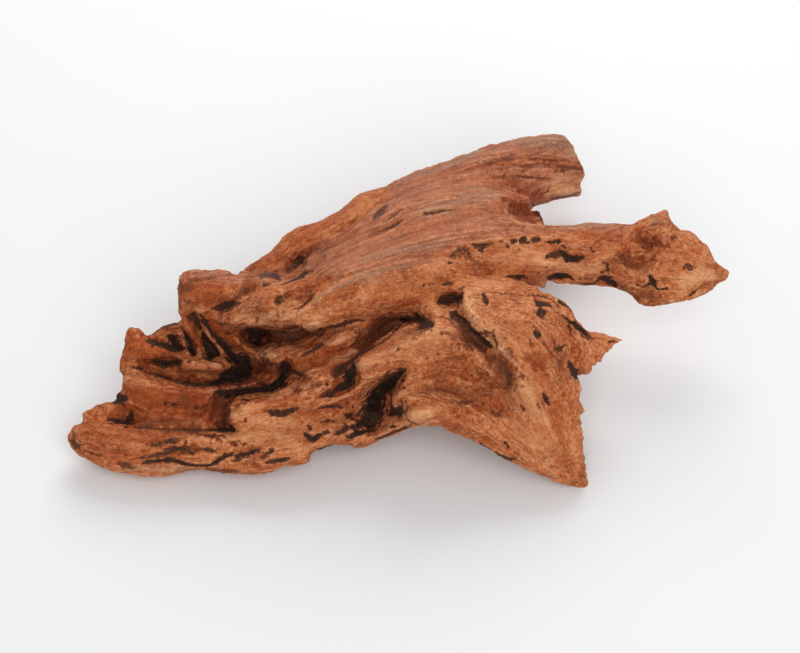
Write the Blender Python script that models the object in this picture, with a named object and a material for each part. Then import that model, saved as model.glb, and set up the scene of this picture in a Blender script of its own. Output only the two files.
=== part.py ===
# Driftwood: a root crown of a dense tropical hardwood, cleaned and worn by water.
# It grew as one piece of wood, and is parted here at its main forks into a trunk, two limbs and
# five roots.
#
# The shape is laid out on a drawing that leans back from the table, as the piece is looked
# at from in front and above. A station on the drawing gives, in millimetres:
#   x, y    its place, from the drawing's centre
#   h       how high it is above the table, for a limb
#   wide    half the width that it covers on the drawing
#   deep    half a limb's thickness, or how far a hollow is cut back or a ridge stands out
# The table is Z = 0, +X runs right along the piece, and +Y runs away from its front. The origin is
# on the table, under the middle of the piece.

import math

import bmesh
import bpy
import numpy as np
from mathutils import Matrix, Vector, noise
from mathutils.bvhtree import BVHTree

MM = 0.001

# Driving dimensions
OVERALL_LENGTH = 330 * MM  # tip of the left root to the tip of the long arm
DRAWN_LENGTH = 330  # the same length on the drawing, in its own millimetres
DRAWING_LEAN = math.radians(50)  # the line of sight's angle to the table
SIGHT_DISTANCE = 2000  # from the eye to the drawing, in the drawing's millimetres
DRAWING_CENTRE = Vector((0.93, 6.92, 0)) * MM  # from the middle of the piece

# How finely the wood is made
UNION_GRAIN = 1.8 * MM
CARVED_GRAIN = 1.5 * MM
FACES_IN_ALL = 7600
RING_POINTS = 20
STEPS_PER_SPAN = 5
CAP_LENGTH = 0.8  # a limb's rounded end, as a share of its half thickness

# How a stroke of the relief is shaped
STROKE_STEEPNESS = 4
STROKE_REACH = 2.2  # how far out it is felt, as a share of its half width
TURNED_AWAY = 0.25  # it fades where the surface turns further from the eye than this
MOST_EATEN = 0.8  # the share of the wood's thickness that a hollow may take

SCALE = OVERALL_LENGTH / DRAWN_LENGTH
RISE, RUN = math.sin(DRAWING_LEAN), math.cos(DRAWING_LEAN)
TO_EYE = Vector((0, -RUN, RISE))

# Limbs: (x, y, h, wide, deep) at each station, along the grain
LIMBS = {
    "sawn_limb": dict(boxy=2.3, stations=[
        (125, 84, 26, 15, 12), (86, 79.5, 34, 16.5, 15), (60, 76, 42, 18.5, 19),
        (35, 65.5, 48, 21, 24), (0, 50.5, 50, 23, 27), (-32, 35, 46, 20, 24), (-57, 22, 40, 17, 19),
        (-72, 14, 36, 13, 14)]),
    "crown": dict(stations=[
        (62, 50, 52, 15, 14), (40, 46, 57, 24, 18), (10, 38, 62, 28, 22), (-20, 24, 60, 23, 20),
        (-45, 10, 50, 18, 16), (-66, 1, 40, 13, 12)]),
    "central_flow": dict(stations=[
        (76, 40, 58, 12, 12), (42, 36, 62, 18, 18), (8, 27, 65, 20, 20), (-26, 17, 67, 16, 18),
        (-50, 11.5, 66, 12, 13), (-72, 8, 63, 8, 9), (-88, 3, 58, 3, 4.5)]),
    "long_arm": dict(boxy=2.3, stations=[
        (25, 28, 56, 18, 20), (52, 34, 58, 16, 15), (80, 36.5, 58, 15.5, 12),
        (100, 36, 57, 16.5, 10), (115, 33, 57, 18.5, 10), (126, 32.5, 58, 24, 13),
        (136, 31.5, 57, 21.5, 13), (146, 29.5, 55, 17, 10), (155, 26.5, 52, 10.5, 7),
        (161, 25.5, 50, 4, 3)]),
    "knuckle": dict(stations=[
        (114, 40, 60, 8, 8), (125, 48, 61, 9, 9), (131, 53, 60, 6, 6), (134, 57, 59, 2, 2.5)]),
    "flare_sheet": dict(boxy=2.3, stations=[
        (22, 0, 54, 24, 20), (46, -12, 52, 30, 15), (62, -33, 42, 29, 12), (76, -53, 26, 19, 9),
        (85, -69, 11, 11, 9), (89, -77, 4, 5, 8)]),
    "flare_shoulder": dict(boxy=2.3, stations=[
        (30, 12, 56, 15, 18), (58, 6, 56, 15, 13), (76, -5, 52, 14, 10), (90, -12, 46, 12, 7),
        (100, -9, 45, 7, 5), (105, -8, 45, 3.5, 3), (110, -6.5, 45, 0.8, 1)]),
    "flare_neck": dict(stations=[
        (-6, -33, 40, 9, 12), (10, -40, 40, 10, 14), (32, -46, 36, 9.5, 13), (58, -62, 22, 9, 9),
        (80, -74, 8, 7, 8)]),
    "neck_web": dict(boxy=2.4, stations=[
        (-14, -30, 26, 12, 12), (12, -28, 36, 17, 14), (40, -30, 38, 17, 13), (60, -42, 30, 12, 9)]),
    "mid_flow": dict(stations=[
        (38, -2, 58, 16, 18), (15, -10, 57, 14, 18), (-10, -20, 50, 11, 16),
        (-35, -29, 42, 10.5, 14), (-57, -37, 35, 9, 12), (-76, -42, 30, 7, 9),
        (-84, -45, 27, 3.5, 6)]),
    "foot_web": dict(stations=[
        (-62, -50, 20, 10, 10), (-32, -47, 24, 10, 10), (-4, -43, 30, 10, 12)]),
    "trough": dict(boxy=2.6, stations=[
        (4, -4, 42, 16, 14), (-25, -14, 36, 17, 14), (-50, -24, 30, 16, 14), (-72, -32, 25, 14, 12),
        (-92, -40, 20, 10, 10)]),
    "inner_flow": dict(stations=[
        (-16, -4, 46, 8, 12), (-38, -10, 44, 7, 12), (-58, -14, 40, 5, 10), (-70, -15, 38, 3, 6)]),
    "tongue": dict(boxy=2.3, stations=[
        (10, -42, 27, 6, 10), (-18, -51, 22, 10, 12), (-45, -58, 18, 11.5, 14),
        (-75, -61, 15, 13.5, 15), (-110, -61, 14, 13, 14), (-138, -59, 14, 13.5, 13),
        (-152, -57, 14, 11, 11), (-161, -56, 13, 6, 6)]),
    "tongue_lobe": dict(stations=[
        (-122, -44, 24, 6, 9), (-138, -43, 23, 6, 8), (-152, -44.5, 20, 6, 6)]),
    "shelf": dict(boxy=2.6, stations=[
        (-50, -28, 34, 8, 12), (-75, -37, 29, 11, 14), (-98, -40, 26, 11.5, 14),
        (-120, -38, 25, 11.5, 12), (-133, -33, 26, 8.5, 8)]),
    "mid_lobe": dict(stations=[
        (-90, -16, 35, 9, 12), (-108, -15, 36, 9, 12), (-123, -15, 35, 9, 11), (-133, -16, 34, 7, 8)]),
    "mid_lobe_knob": dict(stations=[(-122, -12, 37, 6, 8), (-131, -7, 40, 5, 6)]),
    "rear_lobe": dict(stations=[
        (-92, -6, 40, 7, 10), (-108, -5, 41, 6, 8), (-117, -6, 40, 4.5, 5)]),
    "horn": dict(boxy=3.0, stations=[
        (-58, 12, 44, 12, 16), (-80, 13, 50, 14, 17), (-93, 14, 54, 14, 14),
        (-102, 14.5, 54, 12, 11)]),
    "horn_root": dict(stations=[(-70, -4, 34, 10, 14), (-90, 0, 38, 10, 12), (-101, 3, 42, 6, 9)]),
    "bowl_floor": dict(stations=[
        (-64, -22, 26, 11, 10), (-88, -24, 24, 11, 9), (-112, -26, 24, 10, 9)]),
    "belly": dict(boxy=2.3, stations=[
        (66, 26, 42, 14, 12), (40, 20, 38, 24, 18), (0, 6, 36, 28, 20), (-40, -8, 32, 28, 20),
        (-75, -22, 27, 20, 16), (-105, -30, 22, 12, 12)]),
    "rear_root": dict(boxy=2.3, stations=[
        (-48, 30, 42, 15, 16), (-20, 41, 34, 18, 17), (4, 41, 23, 18, 15), (22, 35, 13, 16, 12),
        (36, 29, 6, 12, 9), (44, 26, 4, 6, 6)]),
    "rear_web": dict(stations=[(0, 58, 50, 16, 14), (10, 50, 36, 16, 14), (17, 41, 22, 14, 12)]),
}

# What the piece covers on the drawing, clockwise from the notch behind the horn root
OUTLINE = [
    # the crown's back edge
    (-81, 26), (-75, 31), (-65, 37), (-60, 42), (-56, 46), (-52, 49), (-45, 51), (-40, 52.5),
    (-35, 55), (-30, 58), (-25, 62), (-20, 66), (-10, 69.5), (0, 73.5), (8, 77), (15, 79),
    (25, 82.5), (30, 85), (45, 90.5), (60, 94.5), (75, 96.5),
    # the sawn end and what is torn below it
    (82, 96), (85, 92), (88, 87), (91, 81), (93, 79.5), (92.5, 77), (93.5, 75), (90, 71), (91, 69),
    (90.5, 65), (85, 64), (78, 63), (70, 61),
    # the notch beside the long arm
    (67, 60), (68, 58), (70, 56), (72, 53.5), (70, 51), (75, 50),
    # the long arm, out to its tip and back
    (85, 51), (95, 52.5), (105, 52), (115, 51), (120, 53), (125, 56), (130, 56.5), (134, 58),
    (134, 54), (138, 51), (140, 48), (145, 47), (150, 44), (155, 40), (158, 34), (161, 30),
    (164, 25), (158, 21), (157, 18), (150, 14), (140, 11.5), (130, 10), (125, 9), (120, 9.5),
    (117, 12), (115, 15), (112, 16.5), (105, 18.5), (95, 20), (85, 21.5), (75, 21.5), (68, 21),
    # the flared root, by its spike
    (75, 17), (80, 14), (85, 10), (88, 5), (90, 1), (92, -1), (97, -3), (103, -4),
    # down to the foot and back up
    (111, -6.5), (107, -8), (105, -13), (100, -16), (95, -20), (93, -26), (90, -30), (90, -36),
    (92, -41), (90, -46), (90, -55), (92, -63), (93, -70), (92, -78), (90, -80), (80, -78),
    (70, -75), (60, -71), (50, -66), (40, -60), (30, -55), (20, -50.5), (12, -49.5), (5, -50),
    # the front of the trunk and the tongue root
    (0, -52.5), (-5, -55), (-10, -57), (-15, -60), (-24, -62), (-25, -60.5), (-30, -59.5),
    (-35, -60), (-40, -63), (-44, -65), (-45, -69), (-55, -70), (-65, -74), (-75, -75), (-90, -74),
    (-100, -72.5), (-110, -73), (-125, -74), (-142, -73), (-150, -70), (-160, -65), (-162.5, -62),
    (-165, -60), (-166, -55),
    # the tongue's lobe
    (-164, -50), (-159, -48), (-160, -45), (-158, -41), (-153, -39), (-148, -37.5), (-142, -37),
    # the shelf root and the split root
    (-142, -33), (-139, -31), (-139, -25), (-141.5, -21.5), (-141, -20), (-139.5, -15), (-138, -10),
    (-137, -6), (-136, -2), (-133, -1), (-129, -2), (-125, -5), (-120, -1), (-115, 1), (-110, 1.5),
    # the horn root
    (-110, 5), (-111.5, 8), (-111, 11.5), (-113, 13), (-112, 15), (-112, 20), (-111, 24),
    (-110, 27), (-104, 28), (-95, 28), (-86, 28),
]
RIM = 9  # how far in from its outline the wood is eased onto it
RIM_STEP = 3  # the length of outline that is measured at a time

SAW_CUT = [(92.5, 79), (82.5, 96)]  # the sawn limb's end, as its edge is seen on the drawing
SAW_HEIGHT = 34
SAW_SLANT = 0.12  # how much the cut faces away from the eye
SAW_REACH = 60 * MM

# Where the limbs part from the trunk, as lines across the drawing
SAWN_FORK = [(64, 120), (64, 57), (74, 57)]
ARM_FORK = [(74, 57), (71.5, 50), (70.5, 20)]
FLARE_FORK = [(70.5, 20), (48, 2), (38, -22), (26, -44), (18, -51), (16, -100)]
LEFT_FORK = [(-91, 120), (-92, 3), (-92, -27), (-89, -50), (-86, -54), (-84, -100)]
BY_THE_SAWN_LIMB = [(110, 58), (125, 62), (200, 62)]
BY_THE_ARM = [(100, 8), (112, 2), (200, 2)]
HORN_FORK = [(-92, 3), (-104, 0), (-112, 2.5), (-170, 12)]
SPLIT_FORK = [(-92, -27), (-122, -25), (-140, -23.5), (-170, -22)]
SHELF_FORK = [(-89, -50), (-133, -49.5), (-138, -43), (-142.5, -36.5), (-170, -33)]
REGIONS = {
    "trunk": LEFT_FORK + FLARE_FORK[:0:-1] + ARM_FORK[:0:-1] + SAWN_FORK[::-1],
    "sawn_limb": SAWN_FORK + BY_THE_SAWN_LIMB + [(200, 120)],
    "long_arm": ARM_FORK + BY_THE_ARM + BY_THE_SAWN_LIMB[::-1],
    "flared_root": FLARE_FORK + [(200, -100)] + BY_THE_ARM[::-1],
    "horn_root": [(-91, 120)] + HORN_FORK + [(-170, 120)],
    "split_root": HORN_FORK + SPLIT_FORK[::-1],
    "shelf_root": SPLIT_FORK + SHELF_FORK[::-1],
    "tongue_root": SHELF_FORK + [(-170, -100)] + LEFT_FORK[:3:-1],
}
GAP = 0.3 * MM  # left between neighbours
BELOW_ALL, ABOVE_ALL = -60, 200  # heights that the cuts run between

# How the surface has weathered
LUMP_SIZE = 17  # across a lump, in millimetres
LUMP_HEIGHT = 1.5 * MM
LUMP_DETAIL = (0.9, 2.1, 3)  # how fast finer lumps get lower, how much finer each, and how many
PIT_SPACING = 26  # from one pit to the next, in millimetres
PIT_SIZE = 0.32  # half a pit's width, as a share of that
PIT_DEPTH = 1.6 * MM
# The crown's smooth grain lies above the line y = height + slope * x of the drawing
BAND_HEIGHT, BAND_SLOPE = 30, 0.2
BAND_EDGE = 12
BAND_SMOOTHNESS = 0.75

ROUGHNESS = 0.75
COLOURS = {
    "trunk": (0.40, 0.155, 0.07),
    "sawn_limb": (0.36, 0.15, 0.075),
    "long_arm": (0.43, 0.17, 0.075),
    "flared_root": (0.45, 0.175, 0.07),
    "horn_root": (0.36, 0.125, 0.05),
    "split_root": (0.36, 0.12, 0.045),
    "shelf_root": (0.37, 0.13, 0.05),
    "tongue_root": (0.42, 0.165, 0.07),
}

# Hollows and ridges, as strokes on the drawing: (x, y, wide, deep), where deep is below 0 for a hollow
RELIEF = {
    "slot_under_beak": [
        (-78, -3.5, 4, -12), (-66, -5, 5, -13), (-52, -5.5, 5, -12), (-40, -2.5, 3.5, -9),
        (-28, 0.5, 3, -7), (-18, 3, 2.5, -5)],
    "hole_under_beak": [(-74, -3, 4, -16), (-70, -6, 4.5, -15)],
    "saddle": [
        (0, 0, 5, -8), (-5, -2, 6, -11), (-14, -8, 6, -10), (-23, -14, 4.5, -9),
        (-31, -21, 4.5, -11)],
    "saddle_side": [(3, 2, 4.5, -7), (10, 2, 4.5, -8), (15, 1, 3, -5)],
    "mid_slot": [
        (-23, -23, 3.2, -12), (-27, -29, 3.6, -11), (-34, -33.5, 3, -8), (-41, -36, 2, -4)],
    "trunk_hole": [
        (3, -22, 2, -8), (-3, -27, 4, -18), (-10, -34, 6.5, -28), (-14, -43, 8.5, -26),
        (-19, -49, 4.5, -12)],
    "trunk_pit": [(-2, -42, 4, -12), (-1, -44, 3.5, -11)],
    "bowl": [
        (-76, -12, 5, -12), (-75, -19, 7.5, -22), (-80, -25, 5.5, -18), (-92, -26.5, 4, -15),
        (-106, -26.5, 3.4, -11), (-118, -24.5, 3, -8), (-128, -22, 2.5, -5)],
    "fin_gap_inner": [(-97, 4, 2, -5), (-90, -5, 3.2, -10), (-83, -15, 4.5, -16)],
    "fin_gap_mid": [(-104, 5, 3, -7), (-101, -1, 3, -9), (-97, -9, 4.5, -14), (-94, -14, 5, -15)],
    "fin_gap_outer": [(-109, -2, 2, -6), (-106, -8, 2.6, -10), (-103, -14, 3, -13)],
    "rear_hollow": [(-123, -8.5, 2.6, -5), (-114, -9, 4, -10), (-108, -10, 4, -11)],
    "lobe_hollow": [(-128, -20.5, 2.5, -5), (-118, -19, 3.6, -9), (-111, -19, 2.5, -6)],
    "shelf_slot": [
        (-57, -17, 4, -9), (-57.5, -24, 3.6, -15), (-61, -29.5, 3.2, -17), (-73, -31.5, 3.2, -17),
        (-84, -33.5, 4, -15), (-91, -40, 5.5, -12), (-91, -48, 5, -10)],
    "shelf_face": [(-136, -43, 4, -4), (-120, -46, 6, -5), (-104, -47, 6.5, -6)],
    "tongue_slot": [(-94, -51.5, 2, -6), (-83, -52, 2, -8)],
    "fork_hollow": [(-134, -47, 4, -10), (-140, -45, 3.2, -7), (-147, -46, 2, -3)],
    "eye": [(23, 13.5, 5, -9), (27, 13, 5.2, -9)],
    "long_groove": [(25, 6.5, 3, -6), (33, 1, 3.4, -10), (40, -6, 4.4, -12), (44, -10, 3.8, -10)],
    "lower_groove": [(47, -17, 3.5, -7), (52, -21, 4.4, -10), (54, -28, 4, -9)],
    "crotch_scoop": [(55, 57, 3, -5), (62, 56, 4.5, -10), (70, 56, 5, -16)],
    "shoulder_hollow": [(-54, 28, 4, -6), (-49, 33, 4, -8), (-36, 41, 4, -5), (-24, 47, 3.5, -3)],
    "shoulder_scoops": [(-16, 52, 3.5, -4), (-8, 60, 3, -4)],
    "shoulder_groove": [(-17, 44, 3, -3), (-4, 49, 3.5, -4), (4, 54, 2, -2)],
    "beak_slit": [(-57, 21.5, 2, -5), (-48, 26, 2, -5), (-43, 28, 1.5, -3)],
    "beak_gap": [(-96, 10, 3, -3), (-86, 10, 3, -5), (-79, 13, 2.5, -4), (-76, 18, 3, -4)],
    "beak_pits": [(-47, 18, 4, -3), (-48, 12, 4, -4), (-60, 12, 3, -2)],
    "grain_hollow": [(-44, 8, 3, -3), (-30, 16, 3, -3), (-12, 25, 3, -2)],
    "knuckle_hollow": [(119, 44, 3.5, -5), (124, 40, 3.5, -6), (127, 36, 2.5, -4)],
    "arm_pocket": [(106, 38, 3, -3), (120, 31, 5, -6)],
    "arm_pit": [(121, 16, 5, -4), (129, 15, 5, -4)],
    "arm_edge": [(76, 25, 3, -5), (90, 24, 3, -4), (106, 21, 3, -5)],
    "arm_dish": [(72, 37, 4, -3), (82, 35, 4, -4), (92, 34, 3, -3)],
    "flare_dish": [(20, -24, 7, -4), (36, -29, 8, -6), (48, -38, 7, -5)],
    "flare_edge": [(80, 7, 3, -4), (86, 0, 3, -5), (93, -5, 3, -4)],
    "flare_fold": [(84, -17, 3, -4), (89, -26, 3, -5)],
    "flare_trough": [(68, -22, 5, -3), (74, -38, 5, -4), (80, -56, 5, -3)],
    "beak_crest": [(-86, 4, 3, 3), (-72, 12, 4, 4), (-60, 18, 4, 4), (-48, 23, 3, 2)],
    "beak_hump": [(-68, 21, 4, 4), (-62, 19, 4, 3)],
    "beak_nub": [(-46, 0, 4.5, 6), (-42, 1.5, 4, 5)],
    "inner_boulder": [(-30, -6, 5, 4), (-23, -5, 5, 5)],
    "inner_block": [(-68, -14, 4, 5), (-62, -14, 4, 4)],
    "shelf_lip": [
        (-137, -27, 3.5, 4), (-122, -29, 4, 4), (-106, -31.5, 4, 5), (-92, -31, 3.5, 5),
        (-78, -29, 3, 5), (-67, -26, 3, 4)],
    "pink_lobe": [(-106, -19, 4, 4), (-96, -20, 4.5, 6), (-87, -21, 3.5, 5)],
    "flow_lip": [(16, -1, 4, 3), (0, -7, 4.5, 5), (-14, -15, 4.5, 5), (-26, -22, 4, 5)],
    "flow_end": [(-62, -35, 4, 3), (-78, -39, 4, 4), (-84, -44, 3.5, 4)],
    "hole_lip": [(22, -22, 5, 4), (8, -28, 4.5, 6), (-4, -34, 3.5, 8)],
    "neck_knob": [(6, -44, 4, 4), (13, -43, 3.5, 4)],
    "neck_eye": [(18, -40, 3.5, 3), (24, -39, 3.5, 3)],
    "flare_ridge": [
        (33, 8, 4.5, 6), (43, -6, 5, 6), (53, -19, 5, 5), (63, -36, 7, 2.5), (74, -56, 7, 2)],
    "flare_corner": [(66, 14, 5, 3), (84, 4, 4, 3)],
    "inner_fin": [(-101, 7, 2, 4), (-93, -4, 2, 5), (-86, -13, 2.2, 6), (-80, -18, 2, 5)],
    "outer_fin": [(-108, 5, 2, 3), (-104, -6, 2, 4), (-101, -13, 2, 5)],
    "horn_ledge": [(-108, 11, 4, 3), (-98, 12, 4, 4), (-86, 15, 4, 3)],
    "tongue_crest": [(-158, -53, 4, 3), (-135, -52, 3.5, 4), (-108, -55.5, 3.5, 3)],
    "tongue_flank": [(-128, -66, 5, -3), (-104, -67, 4, -3), (-82, -63, 3.5, -3)],
}


def on_drawing(x, y, h):
    """The place where the line of sight through (x, y) of the drawing reaches the height h."""
    away = (y - h * RUN - y * h * RISE / SIGHT_DISTANCE) / (RISE - y * RUN / SIGHT_DISTANCE)
    nearer = h * RISE - away * RUN
    return Vector((x * (1 - nearer / SIGHT_DISTANCE), away, h)) * SCALE + DRAWING_CENTRE


def to_drawing(points):
    """Where points of the wood lie on the drawing, as an array of x, y."""
    p = (points - np.array(DRAWING_CENTRE)) / SCALE
    shrink = 1 - (p[:, 2] * RISE - p[:, 1] * RUN) / SIGHT_DISTANCE
    return np.stack([p[:, 0] / shrink, (p[:, 1] * RISE + p[:, 2] * RUN) / shrink], axis=1)


def smooth_path(stations):
    """Catmull-Rom points through the stations, with the first and last kept."""
    rows = np.array(stations, float)
    padded = np.vstack([2 * rows[0] - rows[1], rows, 2 * rows[-1] - rows[-2]])
    made = []
    for a, b, c, d in zip(padded, padded[1:], padded[2:], padded[3:]):
        for t in np.linspace(0, 1, STEPS_PER_SPAN, endpoint=False):
            bend = 2 * a - 5 * b + 4 * c - d
            twist = 3 * b - a - 3 * c + d
            made.append(0.5 * (2 * b + (c - a) * t + bend * t**2 + twist * t**3))
    made.append(rows[-1])
    return np.array(made)


def add_limb(bm, stations, boxy=2.0):
    """One swept limb with an oval section, closed by a rounded end at each side."""
    path = smooth_path(stations)
    places = [on_drawing(*row[:3]) for row in path]
    up = Vector((0, RISE, RUN))
    sections = []
    for i, row in enumerate(path):
        j, k = max(i - 1, 0), min(i + 1, len(path) - 1)
        along = (places[k] - places[j]).normalized()
        flat = Vector((path[k][0] - path[j][0], path[k][1] - path[j][1])).normalized()
        side = Vector((-flat.y, 0, 0)) + up * flat.x
        facing = along.cross(side).normalized()
        wide, deep = max(row[3], 0.8) * SCALE, max(row[4], 0.8) * SCALE
        sections.append((places[i], along, side * wide, facing * deep, min(wide, deep)))

    def cap(section, outwards):
        place, along, side, facing, reach = section
        for angle in (30, 60, 85):
            push, share = math.sin(math.radians(angle)), math.cos(math.radians(angle))
            yield place + along * outwards * reach * CAP_LENGTH * push, side * share, facing * share

    body = [(place, side, facing) for place, along, side, facing, reach in sections]
    body = list(cap(sections[0], -1))[::-1] + body + list(cap(sections[-1], 1))
    loops = []
    for place, side, facing in body:
        loop = []
        for n in range(RING_POINTS):
            angle = 2 * math.pi * n / RING_POINTS
            c, s = math.cos(angle), math.sin(angle)
            across = math.copysign(abs(c) ** (2 / boxy), c)
            outward = math.copysign(abs(s) ** (2 / boxy), s)
            loop.append(bm.verts.new(place + side * across + facing * outward))
        loops.append(loop)
    for low, high in zip(loops, loops[1:]):
        for n in range(RING_POINTS):
            m = (n + 1) % RING_POINTS
            bm.faces.new((low[n], low[m], high[m], high[n]))
    bm.faces.new(reversed(loops[0]))
    bm.faces.new(loops[-1])


def join_limbs():
    bm = bmesh.new()
    for limb in LIMBS.values():
        add_limb(bm, **limb)
    bmesh.ops.recalc_face_normals(bm, faces=bm.faces)
    return new_object("wood", bm)


def bake(wood):
    """Replaces the object's mesh by what its modifiers make of it."""
    bpy.context.view_layer.update()
    graph = bpy.context.evaluated_depsgraph_get()
    mesh = bpy.data.meshes.new_from_object(wood.evaluated_get(graph))
    wood.modifiers.clear()
    wood.data = mesh


def fuse(wood, grain, smoothing=0):
    """Makes one closed skin of all that overlaps."""
    union = wood.modifiers.new("union", "REMESH")
    union.mode = "VOXEL"
    union.voxel_size = grain
    if smoothing:
        soften = wood.modifiers.new("soften", "SMOOTH")
        soften.iterations = smoothing
        soften.factor = 0.5
    bake(wood)


def saw_off(wood):
    """Cuts the sawn limb square, a little aslant to the line of sight."""
    low, high = Vector(SAW_CUT[0]), Vector(SAW_CUT[1])
    along = (high - low).normalized()
    edge = Vector((along.x, 0, 0)) + Vector((0, RISE, RUN)) * along.y
    off = edge.cross(TO_EYE).normalized()
    off = (off - TO_EYE * SAW_SLANT).normalized()
    middle = on_drawing(*((low + high) / 2), SAW_HEIGHT)
    bm = bmesh.new()
    bmesh.ops.create_cube(bm, size=SAW_REACH)
    turn = Matrix((off, edge, off.cross(edge))).transposed().to_4x4()
    place = Matrix.Translation(middle + off * SAW_REACH / 2)
    bmesh.ops.transform(bm, matrix=place @ turn, verts=bm.verts)
    bmesh.ops.recalc_face_normals(bm, faces=bm.faces)
    cut(wood, new_object("saw", bm), "DIFFERENCE")


def arrays_of(mesh):
    """The mesh's points and their normals."""
    points = np.empty(len(mesh.vertices) * 3, np.float32)
    mesh.vertices.foreach_get("co", points)
    normals = np.empty(len(mesh.vertices) * 3, np.float32)
    mesh.vertices.foreach_get("normal", normals)
    return points.reshape(-1, 3).astype(float), normals.reshape(-1, 3).astype(float)


def stroke_height(flat, stations):
    """How far one stroke of the relief moves each point of the drawing."""
    path = smooth_path(stations)
    moved = np.zeros(len(flat))
    best = np.full(len(flat), np.inf)
    for a, b in zip(path, path[1:]):
        step = b[:2] - a[:2]
        t = np.clip(((flat - a[:2]) @ step) / max(step @ step, 1e-9), 0, 1)
        gap = np.linalg.norm(flat - a[:2] - t[:, None] * step, axis=1)
        wide = a[2] + t * (b[2] - a[2])
        share = gap / wide
        deep = a[3] + t * (b[3] - a[3])
        nearer = share < best
        best = np.where(nearer, share, best)
        profile = 1 / (1 + share**STROKE_STEEPNESS)
        moved = np.where(nearer, np.where(share < STROKE_REACH, deep * profile, 0), moved)
    return moved


def carve(wood):
    """Moves what the eye sees of the wood along the line of sight, never past the wood behind it."""
    mesh = wood.data
    points, normals = arrays_of(mesh)
    flat = to_drawing(points)
    total = np.zeros(len(points))
    for stations in RELIEF.values():
        total += stroke_height(flat, stations)
    tree = BVHTree.FromPolygons(points.tolist(), [tuple(f.vertices) for f in mesh.polygons])
    to_eye = np.array(TO_EYE)
    facing = np.clip(normals @ to_eye / TURNED_AWAY, 0, 1)
    for i in np.nonzero((abs(total) > 0.1) & (facing > 0))[0]:
        place = Vector(points[i])
        if tree.ray_cast(place + TO_EYE * MM, TO_EYE)[0]:
            facing[i] = 0
            continue
        behind = tree.ray_cast(place - TO_EYE * MM, -TO_EYE)
        thickness = behind[3] / SCALE if behind[0] else 0
        total[i] = max(total[i], -MOST_EATEN * thickness)
    points += to_eye * (total * facing * SCALE)[:, None]
    mesh.vertices.foreach_set("co", points.astype(np.float32).ravel())
    mesh.update()


def nearest_on_outline(flat):
    """How deep inside the outline points of the drawing lie, its nearest point, and how far round that is."""
    corners = np.array(OUTLINE, float)
    ends = np.roll(corners, -1, axis=0)
    lengths = np.linalg.norm(ends - corners, axis=1)
    starts = np.concatenate([[0], np.cumsum(lengths)[:-1]])
    best = np.full(len(flat), np.inf)
    foot = np.zeros_like(flat)
    round_to = np.zeros(len(flat))
    inside = np.zeros(len(flat), bool)
    for a, b, length, start in zip(corners, ends, lengths, starts):
        t = np.clip(((flat - a) @ (b - a)) / length**2, 0, 1)
        near = a + t[:, None] * (b - a)
        gap = np.linalg.norm(flat - near, axis=1)
        closer = gap < best
        best = np.where(closer, gap, best)
        foot[closer] = near[closer]
        round_to = np.where(closer, start + t * length, round_to)
        crosses = (a[1] > flat[:, 1]) != (b[1] > flat[:, 1])
        slope = (b[0] - a[0]) / (b[1] - a[1]) if a[1] != b[1] else 0
        inside ^= crosses & (flat[:, 0] < a[0] + (flat[:, 1] - a[1]) * slope)
    return np.where(inside, best, -best), foot, round_to, lengths.sum()


def ease_onto_outline(wood):
    """Draws the rim of the wood in or out across the line of sight, until it ends at the outline."""
    mesh = wood.data
    points = arrays_of(mesh)[0]
    flat = to_drawing(points)
    depth, foot, round_to, length = nearest_on_outline(flat)
    bins = int(length / RIM_STEP)
    place = round_to / length * bins
    index = place.astype(int) % bins
    over = np.full(bins, -RIM / 2)
    np.maximum.at(over, index, -depth)
    over = np.clip(over, -RIM / 2, 2 * RIM)
    over = np.maximum(over, (np.roll(over, 1) + np.roll(over, -1)) / 2)
    nearby = over[index] * (1 - place % 1) + over[(index + 1) % bins] * (place % 1)
    moved = np.where(depth < RIM, RIM * (depth + nearby) / (RIM + nearby), depth) - depth
    inwards = flat - foot
    inwards /= np.maximum(np.linalg.norm(inwards, axis=1), 1e-6)[:, None]
    inwards *= np.sign(depth)[:, None]
    step = inwards * moved[:, None] * SCALE
    points += step[:, :1] * np.array([1.0, 0, 0]) + step[:, 1:] * np.array([0, RISE, RUN])
    mesh.vertices.foreach_set("co", points.astype(np.float32).ravel())
    mesh.update()


def weather(wood):
    """Lumps and shallow pits all over, fainter on the crown where the grain lies smooth."""
    mesh = wood.data
    points, normals = arrays_of(mesh)
    flat = to_drawing(points)
    above_band = flat[:, 1] - BAND_HEIGHT - BAND_SLOPE * flat[:, 0]
    smooth = np.clip(above_band / BAND_EDGE, 0, 1) * np.clip(2 * normals @ np.array(TO_EYE), 0, 1)
    for i, point in enumerate(points):
        place = (Vector(point) - DRAWING_CENTRE) / MM
        lump = noise.fractal(place / LUMP_SIZE, *LUMP_DETAIL)
        pit = max(0, 1 - noise.voronoi(place / PIT_SPACING)[0][0] / PIT_SIZE)
        rise = LUMP_HEIGHT * lump - PIT_DEPTH * pit
        point += normals[i] * rise * (1 - BAND_SMOOTHNESS * smooth[i])
    mesh.vertices.foreach_set("co", points.astype(np.float32).ravel())
    mesh.update()


def cut(wood, tool, operation, solver="EXACT"):
    """Applies one Boolean and drops any crumb that it leaves."""
    change = wood.modifiers.new("cut", "BOOLEAN")
    change.operation = operation
    change.solver = solver
    change.object = tool
    bake(wood)
    bpy.data.objects.remove(tool)
    keep_largest(wood.data)


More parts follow.
